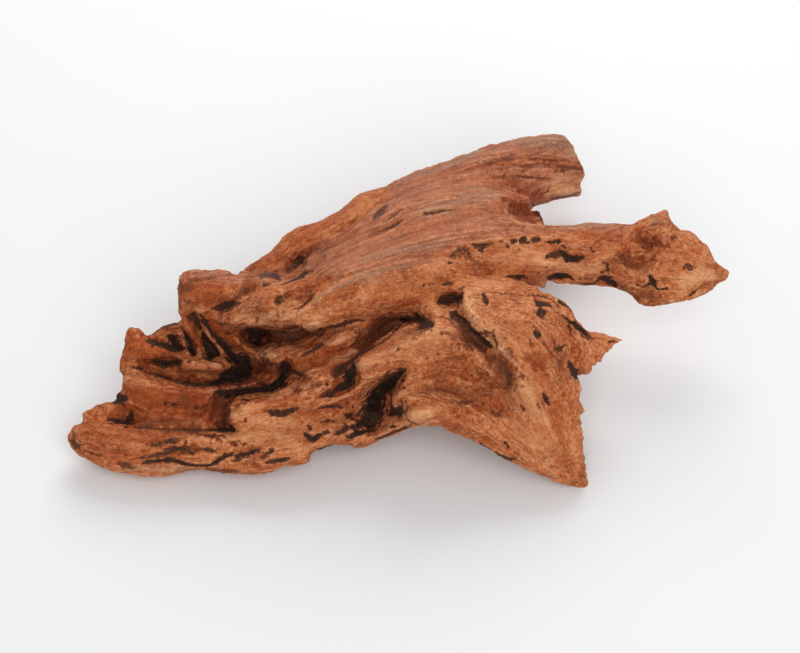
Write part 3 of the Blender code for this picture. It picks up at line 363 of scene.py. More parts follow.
pits = {
    "underHorn": [(-94, 9, 1, 0.6), (-90, 9.2, 2, 0.8), (-85, 10.4, 1.8, 0.85), (-80, 11.4, 1, 0.6)],
    "trunkHoleTop": [(2.6, -21.8, 1, 0.8), (-2, -25.6, 2.6, 0.9), (-8, -31, 4.4, 1)],
    "trunkPit": [(-3.2, -43.6, 2.4, 0.8), (-0.4, -42.4, 2.7, 0.85)],
    "lobeStreak": [(-133, -20.8, 0.8, 0.7), (-129, -21.4, 0.9, 0.75)],
    "lobeStreakLow": [(-125, -22.8, 0.8, 0.6), (-120, -24.8, 0.8, 0.6), (-115, -26.2, 0.9, 0.65)],
    "tongueA": [(-95.6, -69.6, 0.9, 0.8), (-92, -68, 1.5, 0.85), (-88, -65.4, 1.6, 0.85),
        (-84, -64.2, 1.3, 0.8)],
    "tongueAEnd": [(-82, -65, 1.4, 0.8), (-77, -64, 1.6, 0.85), (-72.6, -62.4, 1.5, 0.85),
        (-70.6, -62.2, 0.9, 0.8)],
    "tongueB": [(-129, -68.8, 0.7, 0.6), (-122, -67.4, 1.1, 0.85), (-113, -67.4, 1.5, 0.9),
        (-107, -68.8, 1.1, 0.9), (-101, -69.8, 0.8, 0.9), (-95.4, -69.6, 0.7, 0.8)],
    "tongueC": [(-124, -59.8, 0.7, 0.7), (-119, -58.8, 1.2, 0.6), (-115, -57.6, 1.4, 0.7),
        (-110.6, -57.4, 0.9, 0.6)],
    "tongueD": [(-118, -61.6, 0.5, 0.7), (-110, -61, 0.7, 0.75), (-104, -60.4, 0.4, 0.5)],
    "tongueE": [(-128, -64.8, 0.5, 0.55), (-118, -63.6, 0.8, 0.65), (-113, -61.8, 1, 0.7),
        (-106, -62, 0.6, 0.6)],
    "tongueEEnd": [(-104, -63.6, 0.5, 0.6), (-100, -61.8, 0.5, 0.6), (-94, -62.4, 0.7, 0.65),
        (-90.6, -63.8, 0.5, 0.6)],
    "tongueF": [(-135, -66.6, 0.5, 0.6), (-126, -65.6, 0.5, 0.6), (-118, -65.2, 0.4, 0.5)],
    "tongueG": [(-84, -67.6, 0.6, 0.7), (-79, -66, 0.7, 0.7), (-75, -65.6, 0.4, 0.5)],
    "tongueH": [(-69.6, -65.6, 0.6, 0.6), (-64, -62.6, 0.8, 0.75)],
    "tongueI": [(-67.5, -68.6, 0.5, 0.7), (-60, -66.8, 1, 0.85), (-54.6, -66, 0.4, 0.6)],
    "tongueJ": [(-141, -68.8, 1, 0.55), (-136.4, -69.8, 2, 0.6), (-133, -70.6, 1, 0.5)],
    "tongueTip": [(-163.6, -55.4, 1.2, 0.5), (-162.8, -58.6, 1.8, 0.65), (-160.4, -60.6, 1.3, 0.6)],
    "tipStreak": [(-160, -59.4, 0.6, 0.5), (-153, -58.4, 0.6, 0.45), (-147.6, -59.8, 0.7, 0.5)],
    "lowTipStreak": [(-158, -62.2, 0.5, 0.6), (-153, -64.2, 0.6, 0.7), (-149.6, -65, 0.5, 0.6)],
    "bird": [(-47.6, -54, 0.8, 0.8), (-45.6, -55.8, 1.3, 0.9), (-43, -56.4, 1.4, 0.95),
        (-40, -54.4, 1, 0.9)],
    "birdTail": [(-38, -53.6, 0.7, 0.7), (-35.8, -53.2, 0.9, 0.8)],
    "clawA": [(-31, -54, 1, 0.8), (-28.6, -52.4, 1.3, 0.75), (-26.6, -51.4, 1, 0.8)],
    "clawSpecks": [(-24.6, -51.2, 0.7, 0.7), (-20, -50.8, 0.6, 0.6), (-16, -52.6, 0.8, 0.75),
        (-12.6, -51.8, 0.6, 0.7)],
    "clawB": [(-27, -54.6, 0.5, 0.7), (-25.2, -55.6, 0.9, 0.9), (-21, -53.6, 1.5, 0.95),
        (-17.5, -52.6, 1, 0.9), (-15.6, -51.4, 0.5, 0.7)],
    "smallA": [(-41, -41.4, 0.5, 0.7), (-36, -40.4, 0.9, 0.8), (-31, -39.6, 0.7, 0.75)],
    "smallB": [(-40, -48.2, 0.4, 0.5), (-36.4, -47.4, 0.6, 0.7), (-33, -48, 0.5, 0.6)],
    "smallC": [(-26.4, -45.2, 0.9, 0.8), (-24.4, -44.2, 0.9, 0.8)],
    "smallD": [(-46, -50.2, 0.5, 0.7), (-44.6, -51.4, 0.6, 0.8)],
    "smallE": [(-54.6, -52.4, 0.6, 0.75)],
    "greyLens": [(-67, -42.4, 0.8, 0.6), (-63.4, -43, 1.5, 0.75), (-59.4, -43.8, 1.8, 0.8),
        (-55, -42.6, 1.3, 0.8), (-51.4, -41, 0.6, 0.6)],
    "shoulderPit": [(-55.4, 28, 1.9, 0.55), (-52.4, 30.4, 2.1, 0.6), (-49.8, 32.8, 1.9, 0.8),
        (-48.2, 34, 1, 0.7)],
    "shoulderDot": [(-53.6, 35.4, 0.9, 0.5), (-52, 36.6, 0.9, 0.5)],
    "beakSlit": [(-60, 20.6, 0.3, 0.6), (-57, 21.4, 0.5, 0.85), (-52, 23.4, 0.7, 0.8), (-48, 26, 0.8, 0.85),
        (-43.5, 27.6, 0.5, 0.6)],
    "humpShade": [(-69.5, 24.2, 1.2, 0.6), (-66, 25.8, 1, 0.6), (-62, 24.6, 1.1, 0.8), (-60, 23, 0.7, 0.7)],
    "humpDot": [(-68, 20.6, 0.9, 0.75), (-65, 20.8, 0.6, 0.6)],
    "beakLine": [(-53, 8.6, 0.5, 0.55), (-49.4, 9.4, 0.8, 0.7), (-46, 12.4, 0.8, 0.65),
        (-43, 16.4, 0.6, 0.5)],
    "beakOlive": [(-61, 12.4, 2.2, 0.7), (-60.4, 14.4, 1.6, 0.65)],
    "beakOliveB": [(-57.6, 15, 1.2, 0.5), (-54.6, 15.6, 1.2, 0.5)],
    "innerLine": [(-50, -15.4, 0.4, 0.55), (-46, -13.4, 0.8, 0.7), (-41, -10.2, 0.9, 0.7),
        (-38.2, -8.6, 0.5, 0.6)],
    "blockShade": [(-67, -18.4, 1, 0.55), (-62, -18.8, 1.2, 0.6)],
    "innerPocket": [(-54.6, -22.4, 1.2, 0.65), (-51.6, -23.6, 1.6, 0.75), (-48, -25.4, 1.5, 0.6),
        (-45.4, -27, 1, 0.45)],
    "redCrack": [(12.4, 56.3, 0.9, 0.6), (17, 56.4, 0.7, 0.6), (22, 57.6, 0.6, 0.55), (27.4, 58, 0.4, 0.5)],
    "scoop": [(-12.8, 54, 1.2, 0.5), (-10, 57.2, 1.7, 0.6), (-7, 60.2, 1, 0.5)],
    "crownGroove": [(-15, 45, 0.8, 0.4), (-9, 47.6, 1.1, 0.5), (-4.6, 49.4, 1.5, 0.6),
        (-0.6, 51.8, 1.3, 0.6), (3, 54, 0.6, 0.4)],
    "crownGrooveHigh": [(-9, 51.4, 0.6, 0.4), (-4, 54.4, 0.8, 0.5), (1, 58.6, 0.6, 0.4)],
    "armSpotA": [(36.6, 40.6, 0.7, 0.7), (41, 40.6, 0.9, 0.8), (46, 41.4, 0.5, 0.6)],
    "armSpotB": [(56, 42.8, 1, 0.75), (58, 42.6, 1, 0.75)],
    "armSpotFoot": [(24.4, 31.6, 0.8, 0.7), (25.6, 31.8, 0.7, 0.7)],
    "armSpotRust": [(38, 31, 1.4, 0.45), (41, 30.6, 1.4, 0.45)],
    "armSpotMid": [(39.6, 37.6, 0.8, 0.75), (41, 37.6, 0.7, 0.7)],
    "armSpotLow": [(53.6, 39.8, 0.8, 0.7), (54.4, 39.8, 0.7, 0.7)],
    "armSpotSmall": [(50.4, 42.6, 0.8, 0.55), (51.4, 42.4, 0.6, 0.5)],
    "armSpotC": [(60.8, 42.6, 1.4, 0.75), (62.2, 44, 1.5, 0.8)],
    "armSpotD": [(66.8, 43.2, 1.2, 0.75), (69.4, 43.4, 1.3, 0.8)],
    "armSpotE": [(72.6, 41.8, 0.7, 0.75), (76, 41.8, 0.9, 0.8), (79, 42.2, 1.2, 0.85)],
    "armSpotF": [(81.4, 40, 0.8, 0.7), (82.6, 38.8, 0.9, 0.7)],
    "armBlotch": [(73.6, 34.6, 1.3, 0.6), (77, 35.6, 2, 0.65), (80.6, 36.4, 2, 0.8), (84, 34.2, 1.7, 0.9),
        (88, 33.2, 1.6, 0.9), (91.6, 34.4, 0.9, 0.8)],
    "armDots": [(95.4, 39, 0.6, 0.7), (96.6, 37, 0.9, 0.8), (98.4, 38, 0.5, 0.6)],
    "armDotsLow": [(101, 32, 0.6, 0.6), (103.6, 31, 0.8, 0.7), (103.4, 28.6, 0.6, 0.6)],
    "armUnderA": [(74.6, 24.2, 0.6, 0.8), (79, 25.2, 1.4, 0.95), (84, 25, 1.3, 0.9), (87, 22.8, 0.5, 0.6)],
    "armUnderB": [(88, 22, 0.5, 0.5), (96, 21, 0.5, 0.7), (100.4, 24, 1.1, 0.9), (104, 22.6, 1.5, 0.95),
        (108, 20, 0.8, 0.85)],
    "armUnderC": [(53.4, 24.8, 0.8, 0.7), (57, 24.6, 0.8, 0.75), (60, 24.8, 1.2, 0.8),
        (63.4, 24.2, 0.5, 0.6)],
    "knuckleA": [(119.6, 43.6, 0.8, 0.45), (122.4, 41.6, 1, 0.5), (124.6, 38.6, 0.8, 0.45)],
    "knuckleB": [(127, 43.6, 0.7, 0.6), (128, 40, 0.7, 0.6)],
    "armGroove": [(110, 35, 0.6, 0.4), (114, 32, 1, 0.45), (118, 29.6, 1, 0.4)],
    "armPit": [(121, 15.6, 1.6, 0.4), (125.6, 15, 1.8, 0.42)],
    "armPitRim": [(118.6, 20.6, 0.7, 0.8), (121.4, 19.6, 0.5, 0.6), (126, 21.6, 1.3, 0.9),
        (129, 18.4, 0.8, 0.8), (133.6, 19, 1.1, 0.85)],
    "armBlackUp": [(125, 24.6, 1, 0.9), (127, 22, 1.3, 0.95)],
    "armStar": [(141.6, 29, 1, 0.55), (144, 30.4, 1.4, 0.6), (146.6, 29.6, 0.8, 0.5)],
    "armCrack": [(145, 15.4, 0.7, 0.8), (149, 18.6, 0.3, 0.6), (153, 21.4, 0.3, 0.5), (158, 23, 0.2, 0.4)],
    "armTipDark": [(136, 44, 0.8, 0.6), (138, 44.6, 0.8, 0.6)],
    "sawCrackA": [(48, 80.4, 0.3, 0.3), (60, 80.2, 0.5, 0.5), (72, 81, 0.5, 0.5), (84, 79.6, 0.5, 0.5),
        (91.6, 77.6, 0.4, 0.5)],
    "sawCrackB": [(56, 75.4, 0.3, 0.5), (64, 74.4, 0.4, 0.6), (69, 74, 0.3, 0.4)],
    "sawCrackC": [(50, 84, 0.3, 0.3), (66, 85.4, 0.4, 0.4), (80, 84, 0.4, 0.45), (89, 81, 0.3, 0.4)],
    "flareEdgeA": [(79.6, 12.6, 0.8, 0.9), (81, 11.4, 0.6, 0.8), (84, 9.6, 0.5, 0.7)],
    "flareEdgeB": [(78, 7, 0.4, 0.6), (82, 4.6, 0.6, 0.8), (85.4, 2, 1, 0.95), (89, 0, 1.2, 0.95),
        (92.4, -3, 1.2, 0.9), (95, -5.6, 0.7, 0.8)],
    "flareEdgeC": [(84.6, 0, 0.6, 0.8), (85.4, -4.4, 0.4, 0.8)],
    "flareSpotA": [(69, 10.8, 1.4, 0.85), (72, 10.6, 1.3, 0.8)],
    "flareSpotB": [(69.6, 7.6, 1.4, 0.8), (72, 7, 1.6, 0.85), (71, 5.6, 1, 0.7)],
    "flareSpotC": [(67.8, -3.4, 2, 0.8), (69, -4.6, 2, 0.85)],
    "flareSpotD": [(78.6, -11.6, 1, 0.75), (80.6, -10.8, 1.2, 0.8), (82.4, -9.8, 0.7, 0.75)],
    "flareSpotE": [(84.6, -18.4, 0.7, 0.8), (86.4, -21.8, 1.5, 0.85), (88, -25.4, 1.3, 0.85)],
    "flareSpotEdge": [(90.2, -24.8, 0.9, 0.8), (89.8, -27.6, 0.8, 0.75)],
    "flareSpotF": [(71.8, -34.2, 0.9, 0.75), (73, -37, 1.1, 0.85), (74.4, -39.6, 0.6, 0.7)],
    "flareSpotG": [(60.2, -39.8, 0.8, 0.65), (62.6, -42, 0.8, 0.7)],
    "flareSpotH": [(41.6, 15.6, 1, 0.8), (42.6, 13, 1.3, 0.8), (43.2, 10.6, 0.8, 0.75)],
    "flareSpotI": [(45.4, -42, 1, 0.5), (48, -44, 1.4, 0.55), (50.6, -42.6, 0.9, 0.5)],
    "flareSpotJ": [(30.6, -38.6, 1, 0.5), (34.6, -38.2, 1.2, 0.45), (37.6, -37.6, 0.8, 0.4)],
    "flareSpotK": [(52.6, -58, 0.7, 0.8), (54.2, -60.4, 0.9, 0.85)],
    "flareSpotL": [(48, -63.4, 0.6, 0.7), (51.4, -66, 0.8, 0.8), (57.6, -66.6, 0.7, 0.65)],
    "shoulderCrackLow": [(76, -14, 0.4, 0.5), (79.4, -17.6, 0.5, 0.55), (79.4, -21.6, 0.4, 0.5)],
    "shoulderCrack": [(46, 16.8, 0.3, 0.5), (54, 16.4, 0.4, 0.6), (62, 15, 0.4, 0.6), (69, 15.2, 0.4, 0.6),
        (76, 13, 0.4, 0.65), (79.6, 9, 0.5, 0.7)],
    "grooveSpecks": [(30.6, -6.6, 0.8, 0.55), (33.6, -8.6, 0.9, 0.6), (36.4, -11.6, 0.8, 0.6)],
    "flareSpotM": [(40, -58.6, 0.4, 0.7), (46, -62, 0.3, 0.5)],
    "spikeFoot": [(104.4, -7.8, 0.6, 0.8), (107, -7.6, 0.6, 0.7)],
    "eyeTop": [(21, 20.4, 0.8, 0.65), (25.6, 21.2, 1, 0.7)],
    "eyeSide": [(30, 18.6, 0.9, 0.5), (32.4, 19.8, 0.7, 0.5)],
    "frontCrackB": [(-12, -56.4, 0.5, 0.6), (-6, -54.4, 0.7, 0.8), (0, -52, 0.7, 0.8),
        (5.6, -49.8, 0.4, 0.6)],
    "overhang": [(-41, -62, 0.6, 0.6), (-43, -64.8, 1.5, 0.6), (-44, -67.4, 1, 0.55)],
    "overhangTop": [(-40.6, -61.6, 0.5, 0.75), (-36, -60.2, 0.5, 0.7), (-31, -59.8, 0.4, 0.6)],
    "knobRing": [(2.6, -43.6, 0.5, 0.55), (4.6, -40.2, 0.5, 0.6), (8.6, -38.2, 0.4, 0.5),
        (14, -38.6, 0.4, 0.4), (17.4, -41, 0.3, 0.35)],
    "knotRing": [(16.6, -41.6, 0.3, 0.3), (18, -39, 0.3, 0.3), (22, -38.6, 0.3, 0.3), (25, -40.6, 0.3, 0.3)],
    "ringKnot": [(35.6, 9.4, 0.4, 0.4), (38, 11.4, 0.4, 0.4), (41, 10.4, 0.4, 0.4), (41.6, 7.4, 0.3, 0.4)],
    "ringKnotLow": [(35.8, 4, 0.3, 0.4), (38, 6, 0.3, 0.4), (41, 4.6, 0.3, 0.4), (39.6, 2, 0.3, 0.4)],
}
stainsAndShade = {
    "hornTop": [(-104, 23, 1.5, 0.4), (-94, 24.6, 1.8, 0.42), (-85, 25.4, 1.2, 0.4)],
    "trunkHole": [(-9, -32, 4, 0.9), (-12, -36, 5, 1), (-13.6, -42, 6, 0.95), (-15.4, -46.6, 5.4, 0.9),
        (-21, -49.8, 2.2, 0.85)],
    "hornMiddle": [(-109, 18.6, 2, 0.45), (-104.6, 18.4, 1.6, 0.4)],
    "hornLow": [(-107.4, 12, 1.6, 0.4), (-101.4, 11.4, 1.2, 0.35)],
    "hornRight": [(-82, 14.4, 1.6, 0.5), (-78, 17, 1.8, 0.5), (-75, 18.4, 1, 0.45)],
    "rearLobeTop": [(-123, -3, 1, 0.55), (-117, -0.4, 0.8, 0.5)],
    "rearLobeRim": [(-120, -0.6, 0.7, 0.6), (-114, 0.8, 0.8, 0.6), (-110.6, 1, 0.6, 0.55)],
    "shelfGrey": [(-110.6, -36.6, 2.2, 0.34), (-106, -38.4, 2.2, 0.38)],
    "shelfCorner": [(-88.4, -33.6, 2, 0.6), (-88.6, -40, 1.6, 0.5), (-88, -48, 1.6, 0.6)],
    "lobeForkFill": [(-138, -46, 2.4, 0.5), (-134.6, -46.6, 2.4, 0.55)],
    "shelfEdge": [(-133, -50.4, 0.7, 0.6), (-122, -51.2, 0.8, 0.6), (-110, -51.8, 0.9, 0.6),
        (-96, -52, 1.1, 0.65), (-88, -51.6, 1.4, 0.8)],
    "outerKnob": [(-141, -34.6, 1.6, 0.9), (-138.6, -37.2, 1.4, 0.9), (-144, -37.8, 0.9, 0.8)],
    "lobeEdge": [(-160, -45.6, 1.4, 0.55), (-157.6, -42, 0.8, 0.3)],
    "tongueFoot": [(-97, -72.2, 1.2, 0.42), (-86, -72.4, 1.4, 0.5), (-80, -72, 0.8, 0.4)],
    "tongueTop": [(-146, -63, 1, 0.25), (-141, -62, 1.2, 0.4), (-137, -61, 0.8, 0.3)],
    "beakGrey": [(-90.4, 1.2, 0.6, 0.55), (-87, 1, 0.9, 0.5), (-84, 0.6, 0.5, 0.35)],
    "beakUnder": [(-78, -1.4, 0.8, 0.6), (-70, -1.8, 1.2, 0.6), (-65, -4, 2, 0.5), (-57, -1.4, 1.4, 0.6),
        (-51, -0.4, 1, 0.6)],
    "beakSpots": [(-72, 9.4, 1.4, 0.42), (-69, 13, 1.6, 0.4)],
    "beakSpotsB": [(-67.4, 7, 1.7, 0.45), (-66, 6.6, 1, 0.4)],
    "beakDusk": [(-50, 15, 3, 0.3), (-45, 18, 2.6, 0.36)],
    "blockWall": [(-66, -19.4, 2, 0.44), (-60.6, -21.6, 2, 0.5)],
    "saddleWall": [(-7, 2.4, 3, 0.46), (-11, -1, 3.6, 0.48), (-15, -6, 3, 0.46), (-18, -9, 2, 0.42)],
    "boulderLine": [(-37, -7, 0.4, 0.5), (-34, -4.4, 0.4, 0.45), (-31.4, -2, 0.3, 0.4)],
    "nubEdge": [(-49.6, 0.6, 0.5, 0.5), (-47.8, -2.6, 0.6, 0.7), (-44, -3.4, 0.6, 0.7),
        (-40, -1.6, 0.5, 0.6)],
    "knobEdgeTop": [(3, -46, 0.5, 0.5), (5.4, -48, 0.5, 0.55), (9.4, -49, 0.4, 0.45),
        (14.6, -47.6, 0.4, 0.35)],
    "boulderEdge": [(-25.2, -8.8, 0.4, 0.42), (-20.6, -11.4, 0.5, 0.5), (-17, -8, 0.5, 0.5),
        (-17.6, -2.6, 0.4, 0.42)],
    "boulderFace": [(-21.6, -3.4, 2.8, 0.45), (-21, -7, 3, 0.47)],
    "duskPatch": [(-10, 11, 1.2, 0.4), (-6.6, 9, 1.2, 0.3), (-5.6, 14, 1, 0.25)],
    "crownBand": [(-45, 38, 2, 0.24), (-36, 41.6, 2, 0.28), (-28, 46, 1.6, 0.2)],
    "crownBandLow": [(-46, 35.6, 1, 0.34), (-38, 38.6, 1.4, 0.38), (-31, 42, 1, 0.3)],
    "neckShade": [(12, -51, 1.4, 0.25), (30, -52, 2.4, 0.25)],
    "grooveWall": [(29, -2, 1, 0.4), (35, -8, 1.2, 0.45), (41, -12.6, 1.2, 0.45)],
    "pitFloor": [(4, -2.4, 2, 0.35), (8, -4, 1.6, 0.4), (12, -3, 1.2, 0.35)],
    "flareDusk": [(66, -14, 3.6, 0.16), (73, -16, 3, 0.18), (72, -20, 3, 0.16)],
    "flareFoot": [(78, -68, 1.2, 0.25), (84, -66.6, 1, 0.2)],
    "spikeTop": [(91, -4, 1.2, 0.5), (94, -6, 1.6, 0.55), (97, -6.6, 1, 0.45)],
    "flareMid": [(32, -34, 3, 0.22), (38, -36, 3, 0.2), (44, -33, 3, 0.22)],
    "armRoot": [(26, 34, 2, 0.4), (32, 36, 2, 0.42), (38, 31.6, 2, 0.36)],
    "armRootRim": [(25.6, 35, 1, 0.55), (28.4, 37.6, 1, 0.55), (33, 37.8, 0.9, 0.6),
        (34.6, 35.2, 0.8, 0.55)],
    "armUnder": [(90, 23.6, 1.2, 0.42), (96, 23.6, 1.2, 0.42)],
    "sawnGrey": [(58, 90, 2, 0.2), (76, 90, 4, 0.32), (82, 91, 3, 0.34)],
    "tornWall": [(66.6, 60.4, 0.8, 0.7), (68.6, 57.8, 1.2, 0.85), (70.8, 54.6, 1.1, 0.8),
        (72, 52, 0.6, 0.7)],
    "tornFoot": [(76, 63.6, 0.8, 0.5), (84, 65, 0.7, 0.5), (89, 66.6, 0.7, 0.5)],
}
marks = [(holes, 1.5), (pits, 0.7), (stainsAndShade, 0.12)]  # how many half widths deep the darkest goes
# Shallow relief without a colour of its own: (x, y, half width, mm raised)
reliefs = {
    "knob": [(6.4, -44.4, 2.8, 1), (10, -44.2, 3.6, 1.1), (14, -43.4, 3, 1)],
    "knobMoat": [(2.6, -43, 0.8, -0.9), (6, -49, 0.8, -0.8), (13, -48.4, 0.7, -0.6)],
    "nub": [(-46.6, -0.8, 2.4, 1.3), (-42, 0.8, 2.6, 1.3)],
    "boulder": [(-21.6, -4, 2.2, 1.1), (-21, -8.4, 2.8, 1.2)],
    "plate": [(-34, -9, 2.4, 0.7), (-29, -6.4, 2.6, 0.8)],
    "finger": [(-35.4, -17.2, 1.2, 1.2), (-30, -16, 1.5, 1.5), (-24.6, -14, 1.3, 1.3), (-20, -12, 0.9, 0.8)],
    "block": [(-69.6, -14.4, 1.8, 1.2), (-65.6, -14.4, 2.2, 1.4), (-61.6, -14.6, 1.6, 1.2)],
    "pinkLobe": [(-106, -21, 3, 0.8), (-98.6, -22.4, 4.6, 1.2), (-91.6, -21, 3, 0.8)],
    "pocketBlock": [(-54.2, -27, 1.7, 1.1)],
    "shelfDrop": [(-90, -36, 2.4, -1.4), (-89.6, -44, 2.6, -1.8), (-89.6, -49, 2, -1.2)],
    "shelfSeam": [(-133, -50.4, 0.7, -0.9), (-115, -51.4, 0.8, -0.9), (-97, -52, 0.9, -1)],
    "shelfFold": [(-128, -44.4, 1, -0.5), (-112, -45.8, 1.3, -0.6), (-98, -46, 1, -0.5)],
    "shelfFoldHigh": [(-134, -38, 1.2, -0.5), (-120, -41.4, 1.4, -0.5), (-108, -41, 1, -0.4)],
    "lobeUnder": [(-159, -46.2, 0.9, -0.9), (-152, -46.4, 0.9, -0.8), (-146, -47, 0.9, -0.8)],
    "tongueTip": [(-164, -57, 0.9, -0.6), (-162, -60.4, 1.1, -0.9), (-156, -62.8, 0.6, -0.6),
        (-149.6, -65, 0.6, -0.5)],
    "tongueGroove": [(-157, -53.6, 0.6, -0.4), (-140, -56.4, 0.9, -0.5), (-124, -58.6, 0.8, -0.4)],
    "tongueFold": [(-146, -66, 0.8, -0.5), (-132, -63, 0.9, -0.5), (-120, -61, 0.8, -0.4)],
    "crotchScoop": [(57.6, 57, 2.8, -1.4), (62, 55.8, 4.2, -2.2), (67.6, 55.6, 3.6, -2.2)],
    "crotchLip": [(53, 57.4, 0.6, 0.3), (59, 52, 0.7, 0.4), (68, 50.6, 0.6, 0.3)],
    "crownScoop": [(-12.8, 54.4, 1.2, -0.8), (-10, 57.4, 1.7, -1), (-7.2, 60, 1.1, -0.7)],
    "crownRidge": [(-20, 42.4, 0.9, 0.4), (-10, 45.4, 1, 0.7), (-3, 48.6, 0.9, 0.7), (4, 52.4, 0.6, 0.3)],
    "crownRidgeMiddle": [(-14, 49, 0.8, 0.4), (-6, 52.2, 0.9, 0.7), (0, 56, 0.7, 0.5)],
    "crownRidgeHigh": [(-9, 54.4, 0.7, 0.5), (-3, 58.4, 0.8, 0.6), (3, 63, 0.6, 0.3)],
    "crownFold": [(-46, 42, 1.4, -0.5), (-34, 46.4, 1.6, -0.6), (-24, 51.6, 1.2, -0.4)],
    "crownStep": [(-44, 37, 1.2, -0.6), (-34, 40.4, 1.4, -0.7), (-24, 44.6, 1, -0.4)],
    "slitGroove": [(-61, 20.4, 0.7, -0.7), (-55, 22.4, 0.9, -1), (-49, 25.4, 0.9, -1),
        (-43.4, 27.8, 0.6, -0.5)],
    "slitLip": [(-62, 22.6, 0.8, 0.5), (-55, 24.8, 0.8, 0.6), (-49, 27.8, 0.9, 0.6), (-42, 30, 0.8, 0.4)],
    "humpRing": [(-69.4, 21.4, 0.8, 0.5), (-66, 23, 0.9, 0.8), (-61.8, 21.6, 0.7, 0.5)],
    "beakRim": [(-88, 6.4, 1, 0.6), (-80, 10.6, 1.1, 0.8), (-73, 15.6, 1.1, 0.8), (-66, 18.6, 1, 0.5)],
    "beakCheek": [(-52, 17.4, 2.2, -0.7), (-48, 14, 2.2, -0.9), (-45.6, 18, 1.6, -0.6)],
    "beakFacet": [(-50, 7, 1, 0.4), (-44.6, 9.6, 1.3, 0.7), (-40, 13.6, 1, 0.5)],
    "eyeRim": [(31.4, 16, 0.9, 0.5), (32.4, 11, 1.2, 0.8), (30, 7.4, 1, 0.5)],
    "knot": [(35.4, 8, 0.7, 0.6), (36.8, 11.2, 0.7, 0.6), (40.6, 11.4, 0.7, 0.6), (42, 8.2, 0.7, 0.6),
        (40, 5.6, 0.7, 0.5), (36.8, 5.8, 0.7, 0.5), (35.4, 8, 0.7, 0.6)],
    "knotEye": [(38.6, 8.4, 1.3, -0.8)],
    "lowKnot": [(36, 3, 0.7, 0.5), (38.6, 4.6, 0.7, 0.5), (41.4, 3, 0.7, 0.5), (40.4, 0.6, 0.7, 0.4)],
    "lowKnotEye": [(38.8, 2.4, 1, -0.6)],
    "rustPit": [(27, 35, 1.6, -0.6), (30.4, 36, 2.2, -0.9), (33.6, 35.6, 1.2, -0.5)],
    "knuckleHollow": [(119.4, 43, 2, -1), (122.4, 41.4, 2.6, -1.4), (124.2, 38.8, 1.6, -0.9)],
    "knuckleRim": [(116.6, 41, 1, 0.6), (118.4, 45.8, 1, 0.8), (122, 48, 1, 0.8), (126, 45, 1, 0.8),
        (126.4, 39, 0.9, 0.5)],
    "knuckleSide": [(128.4, 44, 1, -0.8), (129.2, 40, 1, -0.7)],
    "armGroove": [(109, 36, 1.2, -0.5), (114, 32, 2, -1), (118.4, 29.4, 2, -1), (123, 28, 1.2, -0.5)],
    "armLedge": [(60, 33.6, 1, 0.4), (70, 31.6, 1.4, 0.5), (84, 30.6, 1.4, 0.6), (98, 30, 1.2, 0.5)],
    "armShelf": [(52, 20.4, 0.9, 0.5), (60, 20.6, 1, 0.5), (67, 19, 0.8, 0.4)],
    "tipPlate": [(143, 24, 2.6, 0.7), (150, 25.4, 3, 0.8), (155, 27.6, 1.8, 0.5)],
    "tipSwirl": [(141, 33, 1, -0.5), (145.6, 33.4, 1, -0.6), (148.4, 29.6, 1, -0.5)],
    "sawnLip": [(73, 65.4, 1, 0.6), (81, 66, 1.3, 0.8), (89, 67.4, 1.1, 0.7)],
    "sawnStep": [(46, 80.8, 0.7, -0.5), (62, 80.2, 0.8, -0.8), (76, 80.8, 0.8, -0.8), (90, 78.2, 0.6, -0.6)],
    "sawnStepLow": [(58, 75, 0.7, -0.5), (70, 73.6, 0.8, -0.7), (84, 72.4, 0.8, -0.5)],
    "redCrack": [(12.4, 56.2, 0.9, -0.6), (18, 56.8, 0.8, -0.6), (25, 57.8, 0.6, -0.4)],
    "flowGroove": [(-58, -35.4, 0.8, -0.6), (-46, -31.4, 0.9, -0.7), (-36, -27.4, 0.8, -0.6)],
    "flowGrooveLow": [(-54, -38.4, 0.8, -0.5), (-40, -35, 0.9, -0.6), (-26, -31.6, 0.8, -0.5)],
    "flowLip": [(-86, -42, 1, 0.6), (-80, -38.6, 1, 0.7), (-72, -36, 1, 0.6)],
    "neckFold": [(4, -28.6, 1.2, -0.6), (14, -25.4, 1.2, -0.7), (26, -24.4, 1.2, -0.6),
        (38, -27.6, 1, -0.4)],
    "neckFoldLow": [(2, -35.6, 1, -0.7), (12, -32.4, 1.1, -0.7), (26, -31.6, 1.2, -0.6), (38, -35, 1, -0.5)],
    "flareFold": [(64, -28, 1.4, -0.5), (74, -38, 1.4, -0.6), (82, -52, 1.4, -0.6), (86, -62, 1, -0.4)],
    "flareSwell": [(60, -30, 2, 0.5), (68, -42, 2.4, 0.7), (76, -54, 2, 0.5)],
    "flareFoldHigh": [(58, -4, 1.4, -0.5), (66, -10, 1.8, -0.6), (74, -16, 1.4, -0.5)],
    "footRidge": [(70, -71, 0.8, 0.4), (78, -67.4, 1, 0.6), (85, -66, 0.8, 0.5)],
    "overhang": [(-41, -62, 0.8, -0.8), (-43.4, -65, 1.3, -1.2), (-44, -67.6, 0.9, -0.8)],
}
